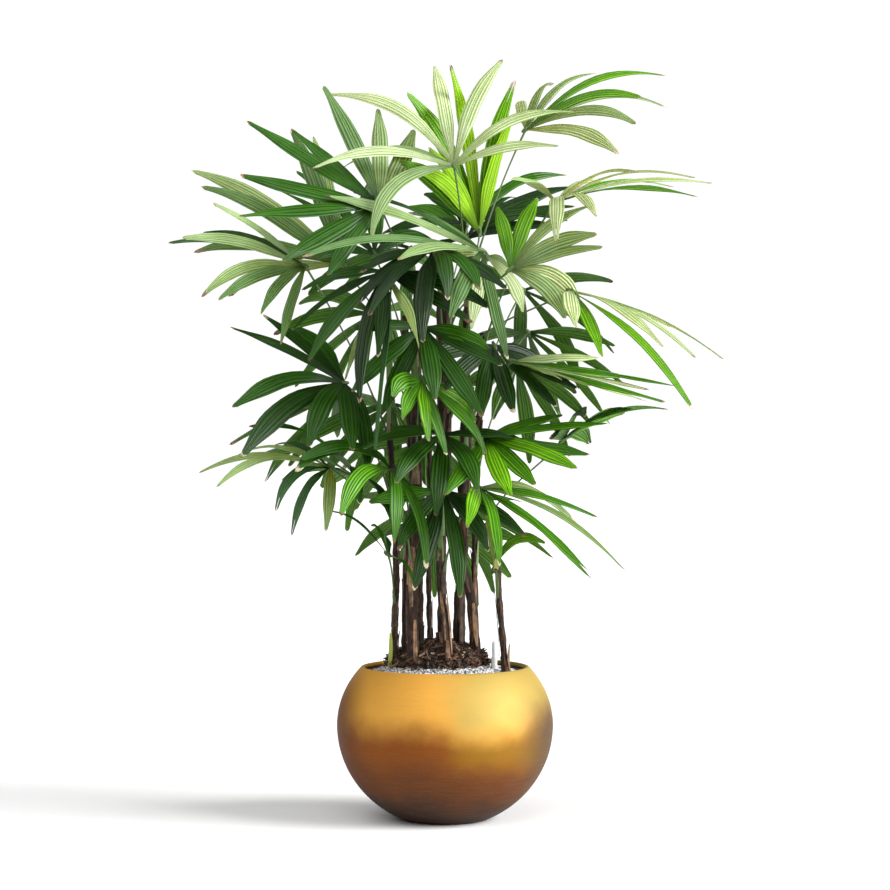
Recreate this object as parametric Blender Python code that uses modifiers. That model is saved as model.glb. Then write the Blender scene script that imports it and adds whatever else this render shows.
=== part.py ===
"""A lady palm in a gold globe pot, as separate closed solids in metres, +Z up.

The plant is seen from -Y.  Canes stand on the soil inside the pot, each frond is a petiole with a fan of
leaflets, and a leaflet that would touch another limb is turned, shortened or left off.
"""
import math
import random
from typing import NamedTuple

import bmesh
import bpy
from mathutils import Matrix, Quaternion, Vector
from mathutils.bvhtree import BVHTree

# Space kept between pieces that touch
GAP = 0.0003
CUT_GAP = 0.0004

# Globe pot
POT_RADIUS = 0.200
POT_MIDDLE = 0.173
FOOT_RADIUS = 0.080
LOWER_RISE = POT_MIDDLE / math.sqrt(1 - (FOOT_RADIUS / POT_RADIUS) ** 2)
UPPER_RISE = 0.170
WALL = 0.009
FLOOR = 0.012
FLOOR_RADIUS = 0.086
POT_SIDES = 32
POT_ROWS = 8
SOIL_ANGLE = math.radians(33.5)
RIM_ANGLE = math.radians(38.8)

# Gravel and the mound of bark round the canes
MOUND_X = -0.014
MOUND_RADIUS = 0.090
MOUND_TOP = 0.330
MOUND_SIDES = 16
GRAVEL_TOP = 0.288
GRAVEL_SHOULDER = 0.275

# Water gauge
GAUGE_X = 0.0905
GAUGE_Y = -0.030
GAUGE_RADIUS = 0.004
GAUGE_FOOT_RADIUS = 0.0055
GAUGE_FOOT_TOP = 0.300
GAUGE_TOP = 0.329

# Canes
CANE_SIDES = 8
CANE_STEP = 0.110
CANE_THINNING = 0.22
FLARE = 0.30
FLARE_HEIGHT = 0.030
STUMP_RADIUS = 0.0075
STUMP_TOP = 0.346

# Fronds
PETIOLE_RADIUS = 0.0020
HUB_RADIUS = 0.0110
HUB_FLATNESS = 0.5
ROOT_START = 0.0048
PETIOLE_STEPS = 3
PATH_STEPS = 20
LEAF_THICKNESS = 0.0115
HULL_MARGIN = 0.0011
STATIONS = (0.0, 0.15, 0.48, 0.83, 1.0)
STEEP_STATIONS = (0.0, 0.14, 0.38, 0.62, 0.85, 1.0)
STEEP_DROOP = 55

FRONT = Vector((0.0, -1.0, 0.0))
UP = Vector((0.0, 0.0, 1.0))

# Ways to move a leaflet out of its neighbours: lift, swing (degrees), share of droop, share of length
TRIES = (
    (0, 0, 1.0, 1.0), (6, 0, 1.0, 1.0), (-6, 0, 1.0, 1.0), (0, 6, 1.0, 1.0), (0, -6, 1.0, 1.0),
    (12, 0, 0.8, 1.0), (-12, 0, 1.2, 1.0), (8, 8, 0.9, 0.94), (-8, -8, 1.1, 0.94), (8, -8, 0.8, 0.9),
    (-8, 8, 1.2, 0.9), (18, 0, 0.7, 0.86), (-18, 0, 1.2, 0.86), (0, 0, 1.0, 0.74), (12, 0, 1.0, 0.66),
    (-12, 0, 1.0, 0.66), (0, 0, 1.0, 0.55),
)
# Ways to lead a petiole past its neighbours: turn round the cane (degrees), sideways bow, rise on the cane
PETIOLE_TRIES = tuple(
    (turn, bow, rise)
    for rise in (0.0, 0.018, -0.018, 0.036, -0.036, 0.055, -0.055)
    for bow in (0.0, 0.12, -0.12, 0.24, -0.24)
    for turn in (0, 35, -35, 70, -70)
)


def outer_point(angle, inset=0.0):
    """Point of the globe's section at an angle above its middle, moved in by an inset."""
    rise = UPPER_RISE if angle > 0 else LOWER_RISE
    normal = Vector((math.cos(angle) / POT_RADIUS, math.sin(angle) / rise)).normalized()
    point = Vector((POT_RADIUS * math.cos(angle), POT_MIDDLE + rise * math.sin(angle)))
    return point - normal * inset


FOOT_ANGLE = -math.acos(FOOT_RADIUS / POT_RADIUS)
GROUND = outer_point(SOIL_ANGLE, WALL + GAP).y + GAP


class Cane(NamedTuple):
    radius: float
    knots: list


# Each cane's foot radius and the points that its axis passes through above the ground
CANES = [
    Cane(0.0065, [(-0.096, -0.030, GROUND), (-0.090, -0.030, 0.49), (-0.104, -0.025, 0.75)]),
    Cane(0.0060, [(-0.075, 0.000, GROUND), (-0.071, 0.000, 0.47), (-0.060, 0.002, 0.58),
                  (-0.075, 0.015, 0.93)]),
    Cane(0.0100, [(-0.057, -0.060, GROUND), (-0.060, -0.060, 0.43), (-0.055, -0.058, 0.58),
                  (-0.050, -0.045, 1.00)]),
    Cane(0.0065, [(-0.046, 0.022, GROUND), (-0.048, 0.024, 0.54), (-0.052, 0.045, 0.90)]),
    Cane(0.0048, [(-0.027, 0.050, GROUND), (-0.031, 0.052, 0.49), (-0.028, 0.080, 0.74)]),
    Cane(0.0075, [(0.006, -0.070, GROUND), (0.003, -0.070, 0.36), (-0.008, -0.070, 0.45),
                  (-0.006, -0.068, 0.84)]),
    Cane(0.0085, [(0.023, 0.012, GROUND), (0.025, 0.012, 0.40), (0.036, 0.010, 0.51), (0.034, 0.010, 0.60),
                  (0.040, 0.005, 0.90), (0.047, 0.005, 1.05)]),
    Cane(0.0090, [(0.060, -0.020, GROUND), (0.047, -0.026, 0.41), (0.027, -0.034, 0.48), (0.006, -0.034, 0.58),
                  (0.000, -0.030, 0.98)]),
    Cane(0.0058, [(0.058, 0.045, GROUND), (0.056, 0.045, 0.51), (0.070, 0.050, 0.90)]),
    Cane(0.0060, [(0.112, -0.050, GROUND), (0.100, -0.050, 0.40), (0.097, -0.050, 0.468)]),
    Cane(0.0080, [(-0.008, 0.074, GROUND), (-0.005, 0.078, 0.50), (-0.010, 0.095, 0.96)]),
    Cane(0.0070, [(0.030, 0.080, GROUND), (0.034, 0.084, 0.50), (0.050, 0.105, 0.80)]),
]
STUMP_FOOT = (-0.010, -0.024)


class Frond(NamedTuple):
    cane: int
    height: float
    hub: tuple
    axis: Vector
    face: Vector
    spread: float
    count: int
    length: float
    width: float = 0.038
    droop: float = 35.0
    cup: float = 4.0
    arch: float = 0.60
    seed: int = 0


def facing(cane, height, hub, aim, lean, tilt, **blade):
    """A frond seen from the front: aim in the picture plane, lean to the front, tilt from facing to lying."""
    aim = math.radians(aim)
    lean = math.radians(lean)
    tilt = math.radians(tilt)
    axis = Vector((math.cos(lean) * math.cos(aim), -math.sin(lean), math.cos(lean) * math.sin(aim)))
    front = (FRONT - axis * axis.dot(FRONT)).normalized()
    over = axis.cross(front)
    if over.z < 0:
        over = -over
    return Frond(cane, height, hub, axis, front * math.cos(tilt) + over * math.sin(tilt), **blade)


def spreading(cane, height, heading, reach, rise, pitch, **blade):
    """A frond set by the compass: its hub lies reach out and rise above the place where it leaves the cane."""
    heading = math.radians(heading)
    pitch = math.radians(pitch)
    flat = Vector((math.cos(heading), math.sin(heading), 0.0))
    axis = flat * math.cos(pitch) + UP * math.sin(pitch)
    hub = cane_at(cane, height)[0] + flat * reach + UP * rise
    return Frond(cane, height, tuple(hub), axis, (UP - axis * axis.z).normalized(), **blade)


def smooth(share):
    share = min(max(share, 0.0), 1.0)
    return share * share * (3.0 - 2.0 * share)


def through(knots, step):
    """Points at even steps along a smooth curve through the knots."""
    knots = [Vector(k) for k in knots]
    ends = [knots[0] * 2 - knots[1]] + knots + [knots[-1] * 2 - knots[-2]]
    points = []
    for before, start, stop, after in zip(ends, ends[1:], ends[2:], ends[3:]):
        pieces = max(1, round((stop - start).length / step))
        for i in range(pieces):
            t = i / pieces
            points.append(0.5 * (2 * start + (stop - before) * t
                                 + (2 * before - 5 * start + 4 * stop - after) * t * t
                                 + (3 * start - before - 3 * stop + after) * t ** 3))
    return points + [knots[-1]]


def cane_line(index):
    """Axis points and radii of a cane from the ground to its tip."""
    cane = CANES[index]
    points = through(cane.knots, CANE_STEP)
    top = points[-1].z
    radii = []
    for point in points:
        run = (point.z - GROUND) / (top - GROUND)
        flare = FLARE * math.exp(-(point.z - GROUND) / FLARE_HEIGHT)
        radii.append(cane.radius * (1 + flare) * (1 - CANE_THINNING * run))
    return points, radii


def cane_at(index, height):
    """Axis point, direction and radius of a cane at a height."""
    points, radii = cane_line(index)
    for low, high, r_low, r_high in zip(points, points[1:], radii, radii[1:]):
        if height <= high.z or high is points[-1]:
            share = min(max((height - low.z) / (high.z - low.z), 0.0), 1.0)
            return low.lerp(high, share), (high - low).normalized(), r_low + (r_high - r_low) * share


def ring_hull(sections):
    """Faces of a closed tube through sections that each hold the same number of points."""
    size = len(sections[0])
    corners = [point for section in sections for point in section]
    faces = [tuple(range(size))[::-1], tuple(range(len(corners) - size, len(corners)))]
    for row in range(len(sections) - 1):
        for i in range(size):
            j = (i + 1) % size
            low = row * size
            high = low + size
            faces.append((low + i, low + j, high + j, high + i))
    return corners, faces


class Hull:
    """A limb's outline for the clash test: its box and its tree of faces."""

    def __init__(self, sections, owner):
        corners, faces = ring_hull(sections)
        self.owner = owner
        self.low = [min(c[i] for c in corners) for i in range(3)]
        self.high = [max(c[i] for c in corners) for i in range(3)]
        self.tree = BVHTree.FromPolygons(corners, faces)

    def touches(self, other):
        if any(self.low[i] > other.high[i] or other.low[i] > self.high[i] for i in range(3)):
            return False
        return bool(self.tree.overlap(other.tree))


def tube_sections(points, radii, sides, margin):
    """Rings round a line, wide enough to hold any tube of those radii."""
    sections = []
    for i, point in enumerate(points):
        ahead = points[min(i + 1, len(points) - 1)] - points[max(i - 1, 0)]
        side = ahead.cross(Vector((0.31, 0.95, 0.02))).normalized()
        turn = Quaternion(ahead.normalized(), math.tau / sides)
        reach = (radii[i] + margin) / math.cos(math.pi / sides)
        ring = []
        for k in range(sides):
            ring.append(point + side * reach)
            side = turn @ side
        sections.append(ring)
    return sections


def petiole_line(frond, turn, bow, rise):
    """Points and radii of a petiole that leaves its cane upwards and bends out to the hub."""
    foot, direction, radius = cane_at(frond.cane, frond.height + rise)
    hub = Vector(frond.hub)
    away = hub - foot
    away = away - direction * away.dot(direction)
    if away.length < 0.01:
        away = frond.axis - direction * frond.axis.dot(direction)
    away = Quaternion(direction, math.radians(turn)) @ away.normalized()
    start = foot + away * (radius + PETIOLE_RADIUS + GAP)
    span = (hub - start).length
    side = direction.cross(hub - start).normalized() if (hub - start).cross(direction).length > 1e-4 else away
    first = start + (direction * 0.9 + away * 0.26).normalized() * span * 0.42
    last = hub - ((hub - start).normalized() * 1.6 + frond.axis * 0.5 + UP * 0.2).normalized() * span * 0.30
    last = last + side * bow * span
    points = []
    radii = []
    for i in range(PETIOLE_STEPS + 1):
        t = i / PETIOLE_STEPS
        rest = 1 - t
        points.append(start * rest ** 3 + first * 3 * rest * rest * t + last * 3 * rest * t * t + hub * t ** 3)
        radii.append(PETIOLE_RADIUS)
    return points, radii


def leaf_draws(number, frond):
    """Seeded differences of each leaflet of a frond."""
    chance = random.Random(frond.seed or 100 + number)
    draws = []
    for _ in range(frond.count):
        draws.append({
            "turn": chance.uniform(-5, 5), "lift": chance.uniform(-9, 9), "droop": chance.uniform(0.6, 1.45),
            "length": chance.uniform(0.80, 1.10), "sweep": chance.uniform(-12, 12),
            "twist": chance.uniform(-25, 25), "width": chance.uniform(0.82, 1.10),
        })
    return draws


def leaf_path(frond, order, draw, attempt):
    """Points, directions and widthwise vectors at even steps along one leaflet."""
    lift, swing, slack, short = attempt
    place = 2 * order / (frond.count - 1) - 1 if frond.count > 1 else 0.0
    turn = math.radians(place * frond.spread / 2 + draw["turn"] + swing)
    heading = Quaternion(frond.face, turn) @ frond.axis
    across = heading.cross(frond.face).normalized()
    heading = Quaternion(across, math.radians(frond.cup + draw["lift"] + lift)) @ heading
    over = across.cross(heading).normalized()
    length = frond.length * draw["length"] * short * (1 - 0.26 * abs(place) ** 1.6)
    level = math.hypot(heading.x, heading.y)
    hinge = heading.cross(-UP)
    hinge = hinge.normalized() if hinge.length > 1e-3 else across
    room = heading.angle(-UP)
    bend = min(math.radians(frond.droop) * draw["droop"] * slack * (0.2 + 0.8 * level), max(room - 0.08, 0.0))
    point = Vector(frond.hub) + heading * ROOT_START
    path = []
    for i in range(PATH_STEPS + 1):
        run = i / PATH_STEPS
        sway = Quaternion(over, math.radians(draw["sweep"]) * run)
        sag = Quaternion(hinge, bend * smooth((run - frond.arch) + 0.5))
        roll = Quaternion(heading, math.radians(draw["twist"]) * run)
        forward = sag @ (sway @ heading)
        path.append((point.copy(), forward, sag @ (sway @ (roll @ across))))
        point += forward * (length / PATH_STEPS)
    return path, length


def along(path, run):
    """Point, direction and widthwise vector at a share of a leaflet's run."""
    spot = run * PATH_STEPS
    low = min(int(spot), PATH_STEPS - 1)
    share = spot - low
    return tuple(a.lerp(b, share) for a, b in zip(path[low], path[low + 1]))


def leaf_width(run):
    """Share of full width: narrow root, even middle, blunt tip."""
    root = 0.08 + 0.92 * smooth(run / 0.46)
    tip = 1.0 - 0.66 * smooth((run - 0.72) / 0.30)
    return root * tip


def leaf_sections(frond, draw, path, length, stations, margin):
    """Sections of one leaflet: two edges, the crown between them and the keel below."""
    sections = []
    for run in stations:
        point, forward, across = along(path, run)
        over = across.cross(forward).normalized()
        half = 0.5 * frond.width * draw["width"] * leaf_width(run)
        keel = length * LEAF_THICKNESS * (0.55 + 0.45 * leaf_width(run))
        if margin:
            sections.append([
                point + across * (half + margin), point + over * margin,
                point - across * (half + margin), point - over * (keel + margin),
            ])
        else:
            sections.append([point + across * half, point - across * half, point - over * keel])
    return sections


def stations_of(frond):
    return STEEP_STATIONS if frond.droop >= STEEP_DROOP else STATIONS


def grow(fronds):
    """Petiole lines and the leaflets that find room, each frond in its own space."""
    placed = []
    for index in range(len(CANES)):
        points, radii = cane_line(index)
        placed.append(Hull(tube_sections(points, radii, CANE_SIDES, 0.0), ("cane", index)))
    petioles = []
    for number, frond in enumerate(fronds):
        chosen = None
        for attempt in PETIOLE_TRIES:
            points, radii = petiole_line(frond, *attempt)
            hull = Hull(tube_sections(points, radii, 4, 0.0001), ("frond", number))
            free = Hull(tube_sections(points[1:], radii[1:], 4, HULL_MARGIN), ("frond", number))
            others = [h for h in placed if h.owner != ("cane", frond.cane)]
            own = [h for h in placed if h.owner == ("cane", frond.cane)]
            if not any(hull.touches(h) or free.touches(h) for h in others) and not any(free.touches(h) for h in own):
                chosen = (points, radii)
                break
        petioles.append(chosen)
        if chosen:
            placed.append(Hull(tube_sections(chosen[0], chosen[1], 4, 0.0), ("frond", number)))
    crowns = []
    for number, frond in enumerate(fronds):
        leaves = []
        if petioles[number]:
            others = [h for h in placed if h.owner != ("frond", number)]
            for order, draw in enumerate(leaf_draws(number, frond)):
                for attempt in TRIES:
                    path, length = leaf_path(frond, order, draw, attempt)
                    hull = Hull(leaf_sections(frond, draw, path, length, stations_of(frond), HULL_MARGIN),
                                ("frond", number))
                    if not any(hull.touches(h) for h in others):
                        leaves.append((draw, path, length))
                        placed.append(hull)
                        break
        crowns.append(leaves)
    return petioles, crowns


# Fronds in the order in which they claim their space, those in front first
FRONDS = [
    facing(2, 0.94, (-0.119, -0.102, 1.124), 155, -11, 35,
           spread=178, count=9, length=0.273, width=0.040, droop=5, cup=5.4, arch=0.74, seed=380),
    facing(6, 1.00, (0.016, -0.066, 1.199), 117, -34, 21,
           spread=175, count=8, length=0.308, width=0.032, droop=48, cup=12, arch=0.53, seed=279),
    facing(6, 0.99, (0.065, 0.061, 1.090), 103, 19, 33,
           spread=60, count=7, length=0.305, droop=46, cup=2, arch=0.67, seed=350),
    facing(6, 0.90, (0.067, -0.110, 1.041), 162, 33, 66,
           spread=172, count=7, length=0.345, width=0.040, droop=25, cup=-7, arch=0.64, seed=33),
    facing(6, 1.02, (0.152, 0.060, 1.283), 35, -14, 62,
           spread=121, count=8, length=0.305, width=0.032, droop=45, cup=2, arch=0.60, seed=321),
    facing(8, 0.88, (0.204, -0.036, 1.137), 2, 32, 81,
           spread=167, count=9, length=0.313, width=0.032, droop=41, cup=16.8, arch=0.49, seed=106),
    facing(7, 0.80, (0.224, -0.144, 0.966), -20, 34, 77,
           spread=118, count=7, length=0.332, width=0.036, droop=24, cup=-1.6, arch=0.49, seed=241),
    facing(7, 0.74, (0.124, -0.109, 0.841), -20, 5, 77,
           spread=112, count=8, length=0.313, width=0.042, droop=5, cup=7.4, arch=0.62, seed=180),
    facing(5, 0.46, (0.061, -0.150, 0.614), -44, 23, 67,
           spread=141, count=7, length=0.306, droop=34, cup=21, arch=0.42, seed=388),
    facing(0, 0.60, (-0.184, -0.060, 0.803), 186, 29, 46,
           spread=173, count=8, length=0.269, width=0.042, droop=38, cup=15.2, arch=0.42, seed=276),
    facing(0, 0.72, (-0.257, -0.031, 1.019), 174, 52, 39,
           spread=85, count=8, length=0.306, width=0.026, droop=28, cup=0.4, arch=0.57, seed=209),
    facing(1, 0.84, (-0.189, 0.008, 1.025), 134, -10, 30,
           spread=112, count=7, length=0.320, width=0.036, droop=33, cup=2, arch=0.73, seed=259),
    facing(2, 0.48, (-0.095, -0.153, 0.646), 188, 75, 49,
           spread=220, count=6, length=0.225, droop=89, cup=3, arch=0.45, seed=215),
    facing(1, 0.50, (-0.209, -0.090, 0.649), 185, 25, 63,
           spread=131, count=7, length=0.236, width=0.024, droop=59, cup=15, arch=0.55, seed=305),
    facing(5, 0.58, (0.074, -0.138, 0.705), -19, 39, 47,
           spread=131, count=7, length=0.234, droop=9, cup=1, arch=0.52, seed=85),
    facing(2, 0.84, (-0.095, -0.208, 0.973), 256, -19, 73,
           spread=164, count=5, length=0.309, droop=51, cup=-1, arch=0.69, seed=4),
    facing(5, 0.68, (-0.039, -0.193, 0.806), 296, 22, 55,
           spread=173, count=7, length=0.170, width=0.042, droop=61, cup=-2, arch=0.73, seed=158),
    facing(7, 0.90, (0.118, -0.100, 1.007), 33, -3, 30,
           spread=118, count=7, length=0.203, width=0.034, droop=44, cup=3.4, arch=0.52, seed=400),
    facing(7, 0.94, (0.076, -0.080, 1.033), 283, 28, 46,
           spread=207, count=6, length=0.160, droop=77, cup=-5.4, arch=0.55, seed=218),
    facing(0, 0.40, (-0.103, -0.092, 0.492), 143, 39, 83,
           spread=167, count=4, length=0.163, width=0.020, droop=97, cup=20, arch=0.69, seed=47),
    facing(9, 0.45, (0.089, -0.032, 0.460), 62, 21, 56,
           spread=83, count=3, length=0.183, width=0.022, droop=86, cup=13, arch=0.42, seed=106),
    spreading(2, 0.66, 277, 0.12, 0.24, -55, spread=157, count=7, length=0.20, droop=19, seed=339),
    spreading(5, 0.62, 273, 0.05, 0.09, -35, spread=200, count=7, length=0.21, droop=43, cup=4.6, seed=203),
    spreading(7, 0.82, 260, 0.12, 0.22, -30, spread=124, count=7, length=0.25, droop=49, cup=4.4, seed=277),
    spreading(2, 0.89, 244, 0.13, 0.11, -51, spread=186, count=7, length=0.26, droop=28, seed=10),
    spreading(5, 0.52, 274, 0.07, 0.09, -59, spread=148, count=6, length=0.21, droop=27, seed=340),
    spreading(1, 0.55, 210, 0.11, 0.08, 33, spread=175, count=7, length=0.26, droop=58, seed=96),
    spreading(6, 0.71, 299, 0.11, 0.16, -57, spread=184, count=7, length=0.19, droop=23, seed=118),
    spreading(3, 0.70, 142, 0.11, 0.24, -47, spread=203, count=7, length=0.26, droop=40, cup=6.4, seed=35),
    spreading(3, 0.65, 115, 0.12, 0.12, -49, spread=136, count=6, length=0.27, droop=33, seed=326),
    spreading(8, 0.65, 56, 0.14, 0.19, -47, spread=164, count=6, length=0.22, droop=38, seed=38),
    spreading(1, 0.89, 138, 0.08, 0.16, 45, spread=178, count=7, length=0.27, droop=43, cup=3.4, seed=220),
    spreading(4, 0.47, 80, 0.16, 0.07, -38, spread=137, count=6, length=0.23, droop=19, seed=320),
    spreading(10, 0.83, 63, 0.11, 0.26, 44, spread=151, count=7, length=0.27, droop=35, cup=1.6, seed=8),
    spreading(10, 0.59, 106, 0.12, 0.11, -57, spread=175, count=6, length=0.24, droop=40, seed=107),
    spreading(11, 0.74, 41, 0.14, 0.25, -39, spread=180, count=5, length=0.29, droop=49, seed=357),
    spreading(8, 0.51, -18, 0.17, 0.19, 43, spread=149, count=6, length=0.23, droop=41, seed=169),
    spreading(11, 0.70, 46, 0.17, 0.21, -39, spread=170, count=6, length=0.28, droop=25, seed=385),
    spreading(4, 0.51, 79, 0.11, 0.07, -35, spread=212, count=6, length=0.28, droop=27, seed=285),
    spreading(3, 0.87, 96, 0.13, 0.20, -21, spread=203, count=7, length=0.29, droop=47, seed=93),
    spreading(10, 0.90, 60, 0.11, 0.22, 36, spread=162, count=6, length=0.27, droop=36, seed=46),
    spreading(1, 0.55, 147, 0.17, 0.23, -39, spread=165, count=6, length=0.23, droop=24, seed=21),
]


def material(name, colour, roughness, metallic=0.0):
    finish = bpy.data.materials.new(name)
    finish.use_nodes = True
    shader = finish.node_tree.nodes["Principled BSDF"]
    shader.inputs["Base Color"].default_value = (*colour, 1.0)
    shader.inputs["Roughness"].default_value = roughness
    shader.inputs["Metallic"].default_value = metallic
    finish.diffuse_color = (*colour, 1.0)
    return finish


def put(name, mesh, collection, finish):
    """Add a mesh to a collection as an object, faces shaded smooth up to a sharp angle."""
    piece = bpy.data.objects.new(name, mesh)
    collection.objects.link(piece)
    mesh.materials.clear()
    mesh.materials.append(finish)
    mesh.shade_smooth()
    mesh.set_sharp_from_angle(angle=math.radians(40))
    return piece


def turned(name, profile, sides, collection, finish, ring=False):
    """A profile in the XZ plane, screwed round the Z axis."""
    mesh = bpy.data.meshes.new(name)
    edges = [(i, i + 1) for i in range(len(profile) - 1)]
    if ring:
        edges.append((len(profile) - 1, 0))
    mesh.from_pydata([(x, 0.0, z) for x, z in profile], edges, [])
    piece = bpy.data.objects.new(name, mesh)
    collection.objects.link(piece)
    screw = piece.modifiers.new("Turn", "SCREW")
    screw.steps = sides
    screw.render_steps = sides
    screw.use_merge_vertices = True
    screw.merge_threshold = 0.00001
    return settled(piece, collection, finish)


def settled(piece, collection, finish):
    """Replace an object by its evaluated mesh, welded and free of modifiers."""
    bpy.context.view_layer.update()
    graph = bpy.context.evaluated_depsgraph_get()
    mesh = bpy.data.meshes.new_from_object(piece.evaluated_get(graph))
    mesh.transform(piece.matrix_world)
    name = piece.name
    bpy.data.objects.remove(piece)
    shape = bmesh.new()
    shape.from_mesh(mesh)
    bmesh.ops.remove_doubles(shape, verts=shape.verts, dist=0.00001)
    shape.to_mesh(mesh)
    shape.free()
    mesh.name = name
    return put(name, mesh, collection, finish)


def tube(name, points, radii, resolution, collection, finish):
    """A round limb along a line, from a bevelled curve with filled caps."""
    curve = bpy.data.curves.new(name, "CURVE")
    curve.dimensions = "3D"
    curve.bevel_depth = 1.0
    curve.bevel_resolution = resolution
    curve.use_fill_caps = True
    spline = curve.splines.new("POLY")
    spline.points.add(len(points) - 1)
    for knot, point, radius in zip(spline.points, points, radii):
        knot.co = (*point, 1.0)
        knot.radius = radius
    piece = bpy.data.objects.new(name, curve)
    collection.objects.link(piece)
    return settled(piece, collection, finish)


def flat_foot(piece, level):
    """Cut a limb flat at a level and close the cut."""
    shape = bmesh.new()
    shape.from_mesh(piece.data)
    everything = shape.verts[:] + shape.edges[:] + shape.faces[:]
    bmesh.ops.bisect_plane(shape, geom=everything, plane_co=(0, 0, level), plane_no=UP, clear_inner=True)
    bmesh.ops.holes_fill(shape, edges=shape.edges[:])
    bmesh.ops.recalc_face_normals(shape, faces=shape.faces)
    shape.to_mesh(piece.data)
    shape.free()


def folded_out(corners, quads, size):
    """Each twisted side of a loft as two triangles that fold outwards, so that thin sides never cross."""
    halves = []
    for quad in quads:
        row = quad[0] // size
        middle = sum(corners[row * size:(row + 2) * size], Vector()) / (2 * size)
        a, b, c, d = (corners[k] for k in quad)
        normal = (c - a).cross(d - b)
        if normal.dot((a + b + c + d) / 4 - middle) < 0:
            normal = -normal
        i, j, k, l = quad if (a + c - b - d).dot(normal) > 0 else quad[1:] + quad[:1]
        halves += [(i, j, k), (i, k, l)]
    return halves


def lofted(name, sections, collection, finish):
    """A closed thin blade through three-cornered sections of unlike size."""
    corners, faces = ring_hull(sections)
    mesh = bpy.data.meshes.new(name)
    mesh.from_pydata([tuple(c) for c in corners], [], faces[:2] + folded_out(corners, faces[2:], len(sections[0])))
    shape = bmesh.new()
    shape.from_mesh(mesh)
    bmesh.ops.recalc_face_normals(shape, faces=shape.faces)
    shape.to_mesh(mesh)
    shape.free()
    return put(name, mesh, collection, finish)


def bead(name, frond, collection, finish):
    """The small flat knot where the leaflets of a frond meet its petiole."""
    mesh = bpy.data.meshes.new(name)
    shape = bmesh.new()
    bmesh.ops.create_uvsphere(shape, u_segments=4, v_segments=2, radius=HUB_RADIUS)
    bmesh.ops.scale(shape, verts=shape.verts, vec=(1, 1, HUB_FLATNESS))
    bmesh.ops.rotate(shape, verts=shape.verts, matrix=UP.rotation_difference(frond.face).to_matrix())
    bmesh.ops.translate(shape, verts=shape.verts, vec=frond.hub)
    shape.to_mesh(mesh)
    shape.free()
    return put(name, mesh, collection, finish)


def is_closed(mesh):
    shape = bmesh.new()
    shape.from_mesh(mesh)
    good = bool(shape.faces) and all(edge.is_manifold for edge in shape.edges)
    good = good and all(vert.is_manifold for vert in shape.verts)
    shape.free()
    return good


def applied(piece, operation, collection, solver):
    """The mesh that one Boolean with a collection gives."""
    cut = piece.modifiers.new("Join", "BOOLEAN")
    cut.operation = operation
    cut.operand_type = "COLLECTION"
    cut.collection = collection
    cut.solver = solver
    bpy.context.view_layer.update()
    graph = bpy.context.evaluated_depsgraph_get()
    mesh = bpy.data.meshes.new_from_object(piece.evaluated_get(graph))
    piece.modifiers.remove(cut)
    return mesh


def clean(mesh):
    """Merge the specks that a Boolean leaves."""
    shape = bmesh.new()
    shape.from_mesh(mesh)
    bmesh.ops.remove_doubles(shape, verts=shape.verts, dist=0.000002)
    bmesh.ops.triangulate(shape, faces=shape.faces)
    shape.to_mesh(mesh)
    shape.free()
    mesh.update()


def joined(piece, operation, collection, finish):
    """Join or cut a piece with a collection, then remove the collection's objects."""
    mesh = applied(piece, operation, collection, "EXACT")
    clean(mesh)
    if not is_closed(mesh):
        bpy.data.meshes.remove(mesh)
        mesh = applied(piece, operation, collection, "MANIFOLD")
        clean(mesh)
    for helper in list(collection.objects):
        bpy.data.objects.remove(helper)
    name = piece.name
    home = piece.users_collection[0]
    bpy.data.objects.remove(piece)
    mesh.name = name
    return put(name, mesh, home, finish)


def wall_angles():
    """Angles of the rows of the globe's wall from its foot to the soil."""
    return [FOOT_ANGLE + (SOIL_ANGLE - FOOT_ANGLE) * i / POT_ROWS for i in range(POT_ROWS + 1)]


def pot_profile():
    """Inner floor, inner wall, rounded rim, outer wall and flat foot."""
    angles = wall_angles() + [RIM_ANGLE]
    inner = [outer_point(a, WALL) for a in angles[1:]]
    outer = [outer_point(a) for a in angles]
    centre = outer_point(RIM_ANGLE, WALL / 2)
    start = (inner[-1] - centre)
    rim = []
    for i in range(1, 4):
        turn = -math.pi * i / 4
        rim.append(centre + Vector((start.x * math.cos(turn) - start.y * math.sin(turn),
                                    start.x * math.sin(turn) + start.y * math.cos(turn))))
    points = [Vector((0, FLOOR)), Vector((FLOOR_RADIUS, FLOOR))] + inner + rim + outer[::-1] + [Vector((0, 0))]
    return [(p.x, p.y) for p in points]


def soil_profile():
    """Soil that fills the pot up to the gravel, a gap inside the wall."""
    side = [outer_point(a, WALL + GAP) for a in wall_angles()[:0:-1]]
    floor = FLOOR + GAP
    points = [Vector((0, side[0].y))] + side + [Vector((FLOOR_RADIUS - GAP, floor)), Vector((0, floor))]
    return [(p.x, p.y) for p in points]


def gravel_profile():
    """Ring of gravel between the mound and the wall, heaped towards the mound."""
    foot = outer_point(SOIL_ANGLE, WALL + GAP)
    edge = outer_point(RIM_ANGLE, WALL + GAP)
    bore = MOUND_RADIUS + abs(MOUND_X) + GAP
    return [
        (bore, GRAVEL_TOP), ((bore + edge.x) / 2, (GRAVEL_TOP + GRAVEL_SHOULDER) / 2),
        (edge.x - 0.006, GRAVEL_SHOULDER), (edge.x, edge.y), (foot.x, foot.y + GAP), (bore, foot.y + GAP),
    ]


def mound_profile():
    """Dome of bark with a short upright skirt in the gravel."""
    rows = 4
    points = []
    for i in range(rows + 1):
        angle = 0.5 * math.pi * i / rows
        points.append((MOUND_RADIUS * math.sin(angle), GRAVEL_TOP + (MOUND_TOP - GRAVEL_TOP) * math.cos(angle)))
    return points + [(MOUND_RADIUS, GROUND), (0, GROUND)]


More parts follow.
